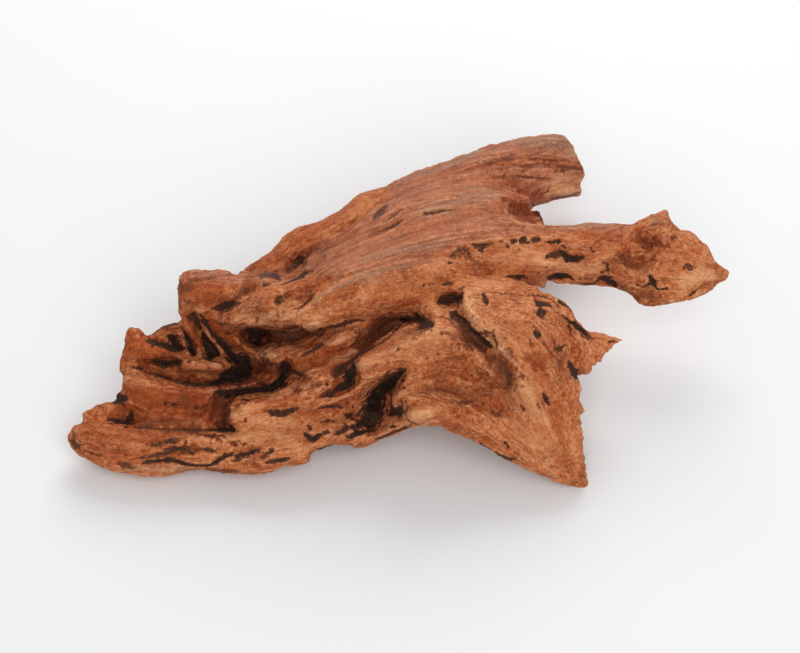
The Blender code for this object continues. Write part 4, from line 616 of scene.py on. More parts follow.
# Patches of another colour or finish, and of painted shade (deep): (x, y, half width, how strong)
patches = {
    "pale": {
        "knob": [(6, -44.6, 3, 1), (10, -44.4, 3.6, 1), (14, -43.6, 3, 1)],
        "beak": [(-88, 4, 2, 0.7), (-80, 3.6, 4, 0.7), (-70, 3.4, 4, 0.6), (-58, 6, 4, 0.55),
            (-50, 6, 3, 0.4)],
        "nub": [(-46, -0.6, 2.4, 0.8), (-41, 1, 2.6, 0.8)],
        "sawn": [(74, 67, 2.4, 0.8), (82, 67.6, 3, 1), (88, 67.6, 2, 0.9)],
        "sawnUpper": [(76, 74, 2, 0.4), (84, 74, 2.6, 0.5), (90, 73, 1.6, 0.5)],
        "crotchLip": [(52.6, 57.6, 0.5, 0.5), (55, 54.6, 0.5, 0.7), (59.4, 51.8, 0.5, 0.8),
            (65, 50.8, 0.5, 0.7), (71, 50.4, 0.5, 0.5)],
        "armTip": [(142, 22, 3, 0.9), (148, 23.6, 3.6, 1), (154, 25.6, 2.4, 0.8)],
        "armFace": [(50, 34, 4, 0.3), (64, 36, 4, 0.35), (80, 30, 2.8, 0.55), (94, 28, 2.6, 0.6),
            (100, 31, 2, 0.5)],
        "flareCrest": [(34, 15, 3, 0.9), (36, 6, 3, 1), (42, -3, 3, 0.9), (50, -12, 2, 0.6)],
        "flarePale": [(58, -26, 2.6, 0.7), (62, -32, 4, 0.8), (66, -40, 3.6, 0.6), (70, -48, 3, 0.4)],
        "flareLow": [(58, -50, 3, 0.4), (66, -58, 4, 0.5), (74, -66, 4, 0.4)],
        "flareHigh": [(40, 20, 3, 0.5), (52, 20, 2, 0.4)],
        "flowEnd": [(-84, -44.6, 1.6, 0.7), (-76, -46, 3, 0.6), (-66, -48, 3, 0.6), (-54, -46, 3, 0.4)],
        "flowLower": [(-78, -55, 3, 0.5), (-62, -54, 3, 0.5), (-50, -62, 2, 0.4)],
        "tongueTop": [(-98, -56, 2, 0.5), (-90, -56.4, 2.4, 0.6), (-80, -57, 2, 0.5)],
        "tongueWhite": [(-130, -70.6, 0.9, 0.7), (-122, -71.4, 1.2, 0.8), (-113, -72, 1, 0.8)],
        "shelfTop": [(-138, -27, 2, 0.5), (-130, -29, 3, 0.4), (-120, -31.4, 2, 0.3)],
        # painted light, to lift a lobe that curves down into its own shade
        "pinkLobe": [(-106, -21.4, 2.4, 0.4), (-98.6, -22.6, 3, 0.5), (-91.6, -21.6, 2.4, 0.4)],
        "block": [(-69.4, -14, 1.8, 0.8), (-63, -14.4, 2, 0.85)],
        "finger": [(-35, -17.4, 1.4, 0.6), (-28, -15, 1.6, 0.7), (-22, -12.4, 1.2, 0.5)],
        "plate": [(-34, -9, 2.2, 0.35), (-29, -6.4, 2.4, 0.4)],
        "crestLip": [(-22, -21, 1.4, 0.3), (-10, -14, 1.6, 0.25), (4, -8, 2, 0.35), (16, -4, 2.6, 0.45),
            (18, -12, 3, 0.3)],
        "hornTop": [(-110, 22, 2, 0.4), (-100, 27, 1.6, 0.3)],
        "eyeRim": [(31, 12, 1.4, 0.6), (33, 8, 1.6, 0.6)],
    },
    "rust": {
        "inner": [(-39, -11, 2, 0.9), (-33, -12.6, 2, 1), (-27, -12.6, 1.2, 0.8)],
        "humpBroad": [(-74, 20, 4, 0.5), (-66, 16, 4, 0.35)],
        "innerBroad": [(-52, -17, 6, 0.4), (-42, -16, 8, 0.45), (-34, -20, 6, 0.4)],
        "bowlWallBroad": [(-72, -22, 4, 0.8), (-66, -25, 4, 0.8), (-60, -22, 3, 0.7)],
        "hornFront": [(-104, 10, 2, 0.6), (-98, 14, 2.6, 0.9), (-90, 13.6, 2, 0.9)],
        "hornUnder": [(-95, 3, 3.4, 0.9), (-89, -4, 4, 1), (-82, -11, 3.4, 0.9)],
        "hornBroad": [(-106, 18, 7, 0.75), (-94, 16, 8, 0.8), (-86, 6, 5, 0.75)],
        "finBroad": [(-107, 6, 3, 0.7), (-104, -2, 3, 0.85), (-101, -9, 3, 0.9)],
        "finOuter": [(-98, 5, 2, 0.8), (-92, -4, 2.4, 0.85), (-87, -12, 2, 0.8)],
        "bowlEdge": [(-116, -29, 1.2, 0.6), (-100, -31, 1.2, 0.7), (-84, -29.6, 1, 0.7),
            (-70, -27, 1.6, 0.6)],
        "flowFace": [(-72, -37, 1.6, 0.7), (-62, -38, 2, 0.8), (-50, -36, 2, 0.6)],
        "pocket": [(-53.6, -27, 1.2, 0.9)],
        "lobes": [(-134, -16, 2, 0.5), (-126, -13, 1.6, 0.6), (-112, -14, 1.2, 0.8)],
        "lobesBroad": [(-134, -10, 8, 0.9), (-122, -13, 9, 0.9), (-112, -12, 5, 0.8)],
        "pinkLobe": [(-107, -20, 2, 0.55), (-99, -22, 3, 0.6), (-91, -21.6, 2.4, 0.5)],
        "shelfFace": [(-108, -42, 2.6, 0.4), (-100, -36, 2, 0.6), (-94, -34, 1.6, 0.6)],
        "shelfBroad": [(-134, -34, 7, 0.7), (-116, -38, 9, 0.9), (-98, -41, 10, 1)],
        "tongueEdge": [(-106, -52.8, 1.2, 0.6), (-94, -53, 1, 0.6)],
        "tongueBroad": [(-157, -51, 5, 0.6), (-138, -54, 6, 0.65), (-112, -54.6, 4, 0.65)],
        "tongueLowBroad": [(-154, -62, 5, 0.5), (-130, -66, 5, 0.45), (-104, -66, 4, 0.35)],
        "flareMid": [(64, -16, 3, 0.8), (70, -19, 3, 0.8), (74, -15, 2, 0.6)],
        "flareFoot": [(79, -67, 1.4, 0.6), (84, -66, 1.2, 0.6)],
        "redLine": [(95, -14.6, 0.5, 0.9), (101, -15.6, 0.5, 0.8)],
        "torn": [(58, 64, 1.6, 0.7), (64, 66, 2.2, 1), (70, 66, 2, 0.9), (62, 62, 1.6, 0.8)],
        "sawnLines": [(20, 77, 1.2, 0.5), (40, 80, 0.8, 0.5), (60, 83, 1.2, 0.6), (76, 82, 1.2, 0.7),
            (88, 80, 1.2, 0.7)],
        "armTop": [(84, 47.4, 1.6, 0.45), (98, 46.6, 2.2, 0.6), (108, 44.6, 3, 0.7), (114, 42.6, 2, 0.6)],
        "shoulder": [(-66, 30, 3, 0.4), (-58, 34, 3, 0.6), (-60, 38, 3, 0.5)],
        "crownLeftBroad": [(-70, 30, 6, 0.35), (-54, 40, 7, 0.35), (-34, 50, 6, 0.25)],
        "beakEnd": [(-56, 20, 3, 0.3), (-48, 22, 3, 0.35)],
        "crotch": [(56.6, 57.6, 3, 0.9), (61, 55.6, 4.2, 1), (67, 56, 4, 1)],
        "armBroad": [(122, 44, 7, 0.3), (132, 40, 7, 0.3)],
        "neckLine": [(22, -48.6, 0.8, 0.8), (34, -50, 1, 0.5)],
    },
    # Painted shade on shaded faces, in grooves and hollows and under edges, besides a few dark lines of the
    # wood's own on the sawn limb
    "deep": {
        "shelfRight": [(-89, -35, 5, 0.85), (-90, -42, 5.4, 0.9), (-89.6, -48.6, 4.6, 0.85)],
        "horn": [(-106, 14, 5, 0.25), (-92, 12, 6, 0.3)],
        "shelfSoft": [(-103, -36, 6, 0.4), (-103, -43, 7, 0.45), (-102, -49, 5, 0.45)],
        "shelfLow": [(-128, -47.6, 2.4, 0.5), (-114, -48.4, 3, 0.5), (-104, -48.6, 3, 0.5)],
        "blockWall": [(-71, -20, 3, 0.75), (-65, -21.4, 4, 0.85), (-59.6, -23, 3, 0.9)],
        "bowlRim": [(-80, -28.4, 1.6, 0.6), (-72, -27.6, 2, 0.6), (-66, -28, 2, 0.6)],
        "finsLow": [(-104, -6, 4, 0.4), (-98, 0, 4, 0.3), (-88, -8, 4, 0.45), (-80, -11, 3, 0.6)],
        "lobes": [(-128, -18, 3, 0.5), (-120, -15, 3, 0.4), (-112, -13, 3, 0.4)],
        "lobeHigh": [(-121, -4, 3, 0.5), (-114, -2, 3, 0.5)],
        "lobeLow": [(-124, -22, 2, 0.4), (-112, -26, 2, 0.4), (-100, -28.6, 1.8, 0.5), (-87, -25, 3, 0.6)],
        "inner": [(-57, -25, 2.6, 0.6), (-50, -28, 3, 0.55), (-43, -30, 2.6, 0.4)],
        "underBeak": [(-79, -2, 2, 0.7), (-72, -2.6, 3, 0.7), (-66, -5, 4, 0.6)],
        "groove": [(27, 1, 2, 0.6), (32, -4, 3, 0.7), (37, -9, 3, 0.8), (42, -12.6, 2.4, 0.7)],
        "lowerGroove": [(43, -15, 3, 0.5), (49.6, -18.6, 4, 0.7), (52.6, -25, 4, 0.7), (49, -30, 3, 0.5)],
        "neck": [(8, -33.6, 2.6, 0.3), (22, -31.4, 3, 0.4), (36, -34, 4, 0.5), (45, -32, 3, 0.5)],
        "saddle": [(-10, 3, 3.6, 0.5), (-15, -3, 4, 0.5), (-20, -11, 3, 0.5)],
        "crotch": [(57, 58, 3, 0.5), (62, 55.6, 4, 0.55), (68, 56, 3, 0.6)],
        "knuckle": [(120, 44, 2.4, 0.6), (123.6, 41, 2.8, 0.7), (127, 40, 1.6, 0.5)],
        "armGroove": [(109, 36, 1.6, 0.5), (114, 32.4, 2.6, 0.7), (118.6, 29.8, 2.6, 0.65),
            (123, 28.4, 1.6, 0.4)],
        "armPit": [(119, 15.6, 3, 0.6), (125, 14.6, 3.4, 0.6)],
        "armSide": [(112, 20, 1.6, 0.5), (116, 16.6, 1.6, 0.5)],
        "flareMid": [(68, -16, 4, 0.25), (74, -20, 3, 0.3)],
        "tongueShade": [(-140, -52.8, 1.4, 0.4), (-118, -54.6, 2, 0.4), (-100, -54.6, 1.4, 0.3)],
        "hornSide": [(-75, 25.6, 3, 0.4), (-70, 29, 3, 0.4)],
        "sawnLineHigh": [(36, 80, 0.5, 0.4), (52, 83.4, 0.6, 0.65), (70, 83.6, 0.6, 0.8),
            (90, 81.4, 0.6, 0.8)],
        "sawnLine": [(34, 75.4, 0.4, 0.3), (50, 79, 0.5, 0.6), (68, 79.6, 0.6, 0.8), (91, 78.8, 0.6, 0.8)],
        "sawnLineLow": [(44, 74, 0.4, 0.3), (60, 74.6, 0.6, 0.7), (70, 74, 0.6, 0.8), (76, 73.6, 0.4, 0.4)],
    },
    "smooth": {
        "crownLeft": [(-68, 34, 6, 0.8), (-52, 43, 7, 1), (-32, 55, 8, 1), (-14, 64, 5, 0.9)],
        "crownBroad": [(-30, 26, 7, 0.5), (0, 44, 10, 0.5), (30, 56, 10, 0.5), (60, 72, 8, 0.4)],
        "central": [(-38, 12, 5, 0.7), (-12, 17, 8, 0.9), (14, 22, 9, 0.9), (34, 26, 6, 0.6)],
        "horn": [(-104, 20, 6, 0.6), (-90, 20, 6, 0.6)],
        "shelf": [(-134, -36, 8, 0.7), (-114, -40, 10, 0.9), (-96, -42, 8, 0.9)],
        "pinkLobe": [(-106, -21, 4, 1), (-92, -21, 4, 1)],
        "fins": [(-104, 2, 7, 0.9), (-90, -8, 7, 0.9)],
        "lobes": [(-134, -10, 7, 0.6), (-118, -12, 6, 0.5)],
        "boulders": [(-34, -9, 4, 1), (-22, -6, 5, 1)],
        "crest": [(-20, -16, 5, 0.6), (0, -8, 5, 0.6), (16, -8, 6, 0.5)],
        "knob": [(6, -44.6, 3.6, 1), (14, -43.6, 3.6, 1), (30, -44, 4, 0.7)],
        "flare": [(60, -30, 6, 0.8), (68, -46, 8, 0.6), (78, -64, 8, 0.5)],
        "arm": [(52, 33, 5, 0.6), (68, 32, 4, 0.4)],
        "tip": [(148, 24, 4, 0.8), (140, 36, 5, 0.4)],
    },
    "grey": {
        "sawnEnd": [(56, 92, 2.4, 0.4), (70, 92, 4, 0.6), (80, 91, 4.6, 0.75), (86, 86, 3.4, 0.6)],
        "sawnRim": [(-14, 66, 1, 0), (2, 73, 1, 0.3), (20, 79, 1.4, 0.45), (40, 87, 1.6, 0.6)],
        "crownStreak": [(-42, 13.6, 1, 0.3), (-32, 19, 1.6, 0.6), (-18, 25, 1.8, 0.6), (0, 30, 1.6, 0.5),
            (22, 33, 1, 0.3)],
        "crownStreakHigh": [(-20, 33, 1, 0.4), (0, 38, 1.4, 0.5), (24, 42, 1.2, 0.4)],
        "crownMiddle": [(10, 57, 2, 0.4), (30, 62, 3, 0.5), (48, 66, 2, 0.4)],
        "armTop": [(84, 49, 1.4, 0.6), (96, 50.4, 1.4, 0.6), (108, 50, 1.2, 0.5)],
        "horn": [(-106, 26.6, 1.2, 0.4), (-96, 27, 1.2, 0.4)],
        "knuckle": [(126, 53, 2, 0.5), (131, 52, 2, 0.5)],
        "tongueFront": [(-138, -71, 1.6, 0.5), (-122, -71, 1.6, 0.6), (-106, -71.4, 1.2, 0.5)],
        "shelf": [(-120, -38, 3, 0.35), (-108, -39, 3, 0.35)],
    },
}
ragged = {  # the edges of the marks
    "size": 3,  # mm across a notch
    "reach": 5,  # and along the grain
    "seed": 11,
    "amount": 0.24,
    "crumble": 0.8,
    "sharp": 5,  # how steeply a mark ends
    "end": 3,  # half widths from its middle, where nothing of it is left
}


def raggedEdge(points):  # how the edges of the marks wander, drawn out along the grain
    return fibreNoise(fibresThrough(field, points), ragged["size"], ragged["reach"], ragged["seed"])


def strokeOver(flat, stations, edge):  # the points in the stroke, how far in, its half width and strength
    path = smoothPath(stations, 3) if len(stations) > 1 else np.array([stations[0]] * 2, float)
    reach = path[:, 2].max() * ragged["end"]
    low, high = path[:, :2].min(axis=0) - reach, path[:, :2].max(axis=0) + reach
    near = np.nonzero(((flat > low) & (flat < high)).all(axis=1))[0]
    here = flat[near]
    best, wide, strength = np.full(len(near), np.inf), np.ones(len(near)), np.zeros(len(near))
    for a, b in zip(path, path[1:]):
        step = b[:2] - a[:2]
        t = np.clip(((here - a[:2]) @ step) / max(step @ step, 1e-9), 0, 1)
        gap = np.linalg.norm(here - a[:2] - t[:, None] * step, axis=1)
        size = np.maximum(a[2] + t * (b[2] - a[2]), 0.1)
        closer = gap / size < best
        best = np.where(closer, gap / size, best)
        wide = np.where(closer, size, wide)
        strength = np.where(closer, a[3] + t * (b[3] - a[3]), strength)
    share = best * (1 + ragged["amount"] * edge[near])
    return near, 1 / (1 + np.clip(share, 0, 9) ** ragged["sharp"]), wide, strength


def strokes(flat, groups, edge):  # the strongest of the strokes at each point, and how deep the deepest goes
    dark, deep = np.zeros(len(flat)), np.zeros(len(flat))
    for paths, depth in groups:
        for stations in paths.values():
            near, share, wide, strength = strokeOver(flat, stations, edge)
            share = share * np.clip(strength, 0, 1)
            dark[near] = np.maximum(dark[near], share)
            deep[near] = np.maximum(deep[near], share * wide * depth)
    return dark, deep


def reliefOver(flat, edge):  # mm raised at each point
    made = np.zeros(len(flat))
    for stations in reliefs.values():
        near, share, wide, strength = strokeOver(flat, stations, edge)
        made[near] += share * strength
    return made


def behindOf(flat, nearer, cell=1.5):  # how far behind the first surface that the eye meets each point is
    index = np.floor((flat - flat.min(axis=0)) / cell).astype(int)
    wide = index[:, 1].max() + 1
    index = index[:, 0] * wide + index[:, 1]
    front = np.full(index.max() + 1, -np.inf)
    np.maximum.at(front, index, nearer)
    return front[index] - nearer


# The wood as one surface
wood = {
    "fill": 0.3,  # closes the gaps that the CAD pieces keep
    "firstGrain": 1.1,
    "grain": 0.66,
    "rounding": 6,
    "rims": [(7, 2), (3.5, 1.4)],  # how far in the wood is eased, and the length of outline taken at a time
}


def fuseNodes():
    bpy.ops.object.select_all(action="DESELECT")
    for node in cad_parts.values():
        copy = addObject("wood", node.data.copy())
        copy.select_set(True)
    bpy.context.view_layer.objects.active = copy
    bpy.ops.object.join()
    inEditMode(bpy.ops.mesh.remove_doubles, threshold=0.01 * mm)
    obj = bpy.context.view_layer.objects.active
    modify(obj, "DISPLACE", strength=wood["fill"] * mm, mid_level=0)
    modify(obj, "REMESH", mode="VOXEL", voxel_size=wood["firstGrain"] * mm)
    modify(obj, "SMOOTH", factor=0.5, iterations=wood["rounding"])
    return obj


obj = fuseNodes()
easeOntoOutline(obj, *wood["rims"][0])
modify(obj, "REMESH", mode="VOXEL", voxel_size=wood["grain"] * mm)
modify(obj, "SMOOTH", factor=0.5, iterations=1)
field = grainField(pointsOf(obj).min(axis=0), pointsOf(obj).max(axis=0))
print("wood fused:", len(obj.data.vertices), "points")


rubbedCrown = {  # where the crown is rubbed smooth: its borders on the drawing, and its end at the right
    "foot": [(-75, 20), (-42, 22), (-10, 28), (10, 30), (35, 40), (50, 45), (95, 45.5), (112, 40), (120, 60)],
    "top": [(-75, 26), (-55, 36), (-45, 40), (-20, 52), (-8, 62), (0, 80), (10, 110)],
    "end": 118,
    "loose": 4,  # how much softer the borders are where the wood turns away
    "wobble": 1.5,  # mm
    "footBlend": (-1.5, 2.5),  # mm over which each border blends
    "topBlend": (-1, 1.5),
    "endBlend": (0, 5),
    "turned": (-0.1, 0.3),  # where the wood has turned from the eye, as a cosine
}


def burnishOf(flat, normals, wobble):  # 1 where the wood is rubbed smooth
    x, y = flat.T
    facing = normals @ toEye
    foot = np.interp(x, *np.transpose(rubbedCrown["foot"]))
    top = np.interp(x, *np.transpose(rubbedCrown["top"]))
    loose = 1 + rubbedCrown["loose"] * ramp(0.35 - facing, 0, 0.4)
    above = ramp((y - foot) / loose + rubbedCrown["wobble"] * wobble, *rubbedCrown["footBlend"])
    below = ramp((top - y) / loose + rubbedCrown["wobble"] * wobble, *rubbedCrown["topBlend"])
    before = ramp(rubbedCrown["end"] - x + 2 * wobble, *rubbedCrown["endBlend"])
    return np.minimum(above, below) * before * ramp(facing, *rubbedCrown["turned"])


carving = {
    "least": 0.15,  # mm, below which nothing is cut
    "most": 0.75,  # the share of the wood's thickness that a cut may take
    "keep": 2.6,  # mm that it leaves
    "relief": 1.5,  # how much more the relief is raised than its table says
    "behind": (2.5, 6),  # mm behind the first surface that the eye meets, where the cuts end
}
tips = [  # x and y on the drawing, reach, and how far the point is drawn out, in mm
    (107, -5.6, 7, 3.4, -1.0),
    (160, 25.6, 7, 2.8, -0.4),
    (132.6, 56.6, 5, 1.0, 1.2),
    (91, -79, 6, 1.0, -1.0),
    (139.6, 50.4, 3, 0.6, 0.6),
    (68.5, 17.6, 6, 0, 2.4),
]


def carve(obj):
    points, normals = pointsOf(obj), normalsOf(obj)
    flat, nearer = toDrawing(points)
    edge = raggedEdge(points)
    facing = ramp(normals @ toEye, 0, 0.3) * (1 - ramp(behindOf(flat, nearer), *carving["behind"]))
    deep = (strokes(flat, marks[:2], edge)[1] - carving["relief"] * reliefOver(flat, edge)) * facing
    tree = BVHTree.FromPolygons((points * mm).tolist(), [tuple(f.vertices) for f in obj.data.polygons])
    away = Vector(-toEye)
    for i in np.nonzero(deep > carving["least"])[0]:
        hit = tree.ray_cast(Vector(points[i] * mm) + away * mm, away)
        thick = hit[3] / mm if hit[0] else 0
        deep[i] = max(0, min(deep[i], carving["most"] * thick, thick - carving["keep"]))
    movePoints(obj, points - toEye * deep[:, None])


def drawTips(obj):
    points = pointsOf(obj)
    flat = toDrawing(points)[0]
    for x, y, reach, right, up in tips:
        share = ramp(1 - np.linalg.norm(flat - (x, y), axis=1) / reach, 0, 1)[:, None]
        points += share * (right * np.array([1.0, 0, 0]) + up * drawingUp)
    movePoints(obj, points)


carve(obj)
easeOntoOutline(obj, *wood["rims"][1])
drawTips(obj)
modify(obj, "REMESH", mode="VOXEL", voxel_size=wood["grain"] * mm)
modify(obj, "SMOOTH", factor=0.4, iterations=1)
print("hollows carved:", len(obj.data.vertices), "points")

weathering = {  # size across and reach along the grain in mm, and height where the wood is raw and rubbed
    "bands": dict(size=6, reach=14, seed=9, raw=0.12, rubbed=0.04),
    "ledges": dict(size=8.5, reach=10, seed=1, raw=0.5, rubbed=0.13, steps=0.85, stepped=0.75),
    "flakes": dict(size=3.8, reach=6, seed=8, raw=0.22, rubbed=0.05, steps=0.9, stepped=1),
    "ridges": dict(size=3.4, reach=11, seed=2, raw=0.08, rubbed=0.08),
    "threads": dict(size=1.5, reach=12, seed=3, raw=0.05, rubbed=0.07),
    "slits": dict(size=1.9, reach=13, seed=4, raw=0.25, rubbed=0.28, few=1.9),
    "lumps": dict(size=4.2, reach=0, seed=5, raw=0.08, rubbed=0.03, rim=0.3),
    "grit": dict(size=1.7, reach=0, seed=6, raw=0.06, rubbed=0.02, rim=0.3),
    "pits": dict(size=2.3, reach=2.5, seed=7, raw=0.5, rubbed=0.1, few=2.2),
}
smoothed = 0.6  # how much of the weathering the patches called smooth lose
crumbled = {  # the rims crumble, and most of all the flared root's right edge
    "from": (78, 86),  # its x on the drawing
    "below": (0, 12),  # and its y, downwards
    "elsewhere": 0.25,
}


def terraces(values, count):  # the same rise in steps, as layers break off
    place = values * count
    return (np.floor(place) + ramp(place % 1, 0.7, 1)) / count


def noiseOf(points, fibres, size, reach, seed):  # without a reach it is lumps, with finer ones on them
    if reach:
        return fibreNoise(fibres, size, reach, seed)
    made = latticeNoise(points, size, seed) + 0.6 * latticeNoise(points, size * 0.53, seed + 100)
    return np.clip(made / made.std(), -3, 3)


def weather(obj):
    points, normals, edges = pointsOf(obj), normalsOf(obj), edgesOf(obj)
    flat = toDrawing(points)[0]
    facing = normals @ toEye
    fibres = fibresThrough(field, points)
    made = {name: noiseOf(points, fibres, k["size"], k["reach"], k["seed"]) for name, k in weathering.items()}
    burnish = burnishOf(flat, normals, made["ledges"])
    shapes = dict(made, ridges=0.6 - np.abs(made["ridges"]))
    for name, k in weathering.items():
        if "steps" in k:
            shapes[name] = (1 - k["stepped"]) * made[name] + k["stepped"] * terraces(made[name], k["steps"])
        if "few" in k:
            made[name] = ramp(made[name], k["few"], k["few"] + 0.6)
            shapes[name] = -made[name]
    rise = np.zeros(len(points))
    for name, k in weathering.items():
        rise += shapes[name] * (k["raw"] + (k["rubbed"] - k["raw"]) * burnish)
    flareEdge = ramp(flat[:, 0], *crumbled["from"]) * ramp(-flat[:, 1], *crumbled["below"])
    loose = crumbled["elsewhere"] + (1 - crumbled["elsewhere"]) * flareEdge
    rim = ramp(0.4 - np.abs(facing), 0, 0.3) * (1 - burnish) * loose  # what the eye sees edge on
    rise += (weathering["lumps"]["rim"] * made["lumps"] + weathering["grit"]["rim"] * made["grit"]) * rim
    smooth = strokes(flat, [(patches["smooth"], 0)], made["ledges"])[0] * ramp(facing, -0.5, 0)
    rise *= 1 - smoothed * smooth
    calm = spreadRows(normals, edges, 4)
    calm /= np.linalg.norm(calm, axis=1)[:, None]
    movePoints(obj, points + calm * rise[:, None])
    made.update(burnish=burnish, smooth=smooth, upwards=calm[:, 2])
    return made


noises = weather(obj)
print("grain weathered")

shown = {  # where the drawn colours end, out of the eye's sight
    "behind": (20, 30),  # mm behind the first surface that the eye meets
    "turned": (-0.45, -0.1),  # how far the wood turns to the eye, as a cosine
    "edge": 1.5,  # how much more ragged the patches are than the marks
}
# Painted shade in hollows and creases, and a painted highlight on ridges, by how far the wood lies below the
# surface around
paintedShadeAndHighlight = {  # rounds of evening out that give the surface around, and the mm below it that count as none and all
    "hollowShade": (26, -1.2, 2.4),
    # painted shade in creases and a painted highlight on ridges
    "creaseShadeAndHighlight": (2, -0.12, 0.16),
}
forJoints = ("known", "shadeX", "shadeY", "shadeZ")  # masks that only healJoint reads


def shade(obj, made):  # the masks that the finish reads, one value for each point
    points, normals, edges = pointsOf(obj), normalsOf(obj), edgesOf(obj)
    flat, nearer = toDrawing(points)
    edge = raggedEdge(points) + ragged["crumble"] * made["grit"]
    reached = (1 - ramp(behindOf(flat, nearer), *shown["behind"])) * ramp(normals @ toEye, *shown["turned"])
    hidden = 1 - reached
    # the dark marks: rot and stain, and painted shade in holes, slots and under edges
    stainAndShade = strokes(flat, marks, edge)[0] * reached
    ownStain = ramp(made["ledges"] * 0.7 + made["lumps"] * 0.4 - 1.3, 0, 0.6) * hidden
    for more in (ownStain * 0.85, made["pits"] * (0.35 + 0.4 * hidden), made["slits"] * 0.3):
        stainAndShade = np.maximum(stainAndShade, more)
    masks = {"stainAndShade": stainAndShade}
    # the deep patches are painted shade, besides a few dark lines of the wood's own
    for name in ("pale", "rust", "grey", "deep"):
        masks[name] = strokes(flat, [(patches[name], 0)], edge * shown["edge"])[0] * reached
    masks.update({
        "burnish": made["burnish"],
        "smooth": made["smooth"],
        "fibre": 0.5 + 0.07 * made["threads"] * (0.6 + 0.6 * made["burnish"]) + 0.05 * made["grit"],
        "tone": 0.5 + 0.12 * made["ledges"] + 0.1 * made["lumps"],
        "streak": 0.5 + 0.2 * made["ridges"] + 0.06 * made["threads"],
        "band": 0.5 + 0.16 * made["bands"],
        # paler where the wood faces up: painted light from above, and dust
        "upLitAndDusty": ramp(made["upwards"], 0.2, 0.95),
    })
    for name, (times, none, full) in paintedShadeAndHighlight.items():
        below = ((spreadRows(points, edges, times) - points) * normals).sum(axis=1)
        masks[name] = ramp(below, none, full)
    masks = {name: np.clip(values, 0, 1) for name, values in masks.items()}
    masks["known"] = np.ones(len(points))
    fibres = fieldAt(field, points)
    for i, axis in enumerate("XYZ"):
        masks.update({"shade" + axis: normals[:, i], "along" + axis: fibres[:, i]})
    for name, values in masks.items():
        layer = obj.data.attributes.new(name, "FLOAT", "POINT")
        layer.data.foreach_set("value", values.astype(np.float32))
    return list(masks)


masks = shade(obj, noises)
print("colours laid")

# The finish
finish = {
    "noises": {  # mm across, detail and roughness
        "pore": (0.9, 3, 0.7),
        "fleck": (3.5, 3, 0.65),  # of paler or redder wood
        "patch": (11, 4, 0.62),  # of darker wood
    },
    "strand": 0.6,  # mm across a strand, drawn out over 2 x strands + 1 of them
    "strands": 3,
    "contrast": (0.22, 0.52),  # how much the strands show, from one patch of wood to another
    "calmed": 0.45,  # and what share of it the smooth places keep
    "specks": 1.1,  # how much the pores speckle the fibres
    "crumbs": 1.7,  # and how much they break up the edge of the rot, stains and painted shade
    "rotAndShade": [(0.35, "#84462a"), (0.55, "#60341f"), (0.75, "#43281a"), (0.95, "#2a1811")],  # edge to middle
    "roughness": (0.62, 0.86),  # rubbed, raw
    "specular": 0.22,
    "bump": 0.12,  # mm
    "relief": {"pore": 0.5, "threads": 0.35},  # shares of the bump
}
# Each coat: what it follows, from which value and how steeply, and the half width of its run of colours,
# which go from the dark fibres to the pale ones
coats = {
    "raw": [
        ("", 0, 1, 0.4, "#6c280d", "#9e471c", "#c26f40"),
        ("tone", 0, 1, 0.4, "#853f19", "#c06b36", "#dc9a6e"),
        # paler where the wood faces up: painted light from above, and dust
        ("dustAndTopLight", 0, 1, 0.4, "#874726", "#b96d3f", "#d79a70"),
        ("band", 0.5, 1.3, 0.4, "#90522c", "#ca7d4a", "#e3a87c"),
        ("band", 0.5, -1.3, 0.4, "#57210d", "#853d1a", "#a86136"),
    ],
    "rubbed": [
        ("", 0, 1, 0.4, "#6a301a", "#9c5635", "#ba7a57"),
        ("tone", 0, 1, 0.4, "#864528", "#b56d45", "#cd9170"),
        ("streak", 0, 0.55, 0.35, "#6f3220", "#96492c", "#ab5d3a"),
    ],
    "both": [
        ("patch", 0.5, 3.2, 0.35, "#5d2d1a", "#864424", "#a3603a"),
        ("pale", 0, 1, 0.4, "#ae6c44", "#d28f5c", "#eabc96"),
        ("grey", 0, 1, 0.4, "#745340", "#957058", "#b08b70"),
        # painted shade in the hollows
        ("hollowShade", 0.42, 1.5, 0, "#5e2a17"),
        # painted shade in the creases, then a painted highlight on the ridges
        ("creaseShadeAndHighlight", 0.62, 1.7, 0, "#4f2414"),
        ("creaseShadeAndHighlight", 0.36, -1.3, 0, "#d6a07a"),
        ("rust", 0, 1, 0.4, "#5f230d", "#9a441b", "#c0642f"),
        # painted shade, besides a few dark lines of the wood's own
        ("deep", 0, 1, 0.4, "#3f190b", "#6a2c13", "#8d4824"),
    ],
}


def linear(hexColour):
    made = []
    for i in (1, 3, 5):
        c = int(hexColour[i : i + 2], 16) / 255
        made.append(c / 12.92 if c <= 0.04045 else ((c + 0.055) / 1.055) ** 2.4)
    return (*made, 1)


# Adds a node. Values with a small first letter are settings, and the others name a socket or give its number
def addNode(tree, kind, output=0, stops=(), **values):
    node = tree.nodes.new("ShaderNode" + kind)
    for name, value in values.items():
        if name[0].islower():
            setattr(node, name, value)
            continue
        socket = node.inputs[int(name[1:]) if name[0] == "_" else name.replace("_", " ")]
        if isinstance(value, bpy.types.NodeSocket):
            tree.links.new(value, socket)
        else:
            socket.default_value = value
    if stops:
        band = node.color_ramp.elements
        while len(band) < len(stops):
            band.new(0.5)
        for element, (place, colour) in zip(band, stops):
            element.position = place
            element.color = linear(colour)
    return node.outputs[output] if node.outputs else node


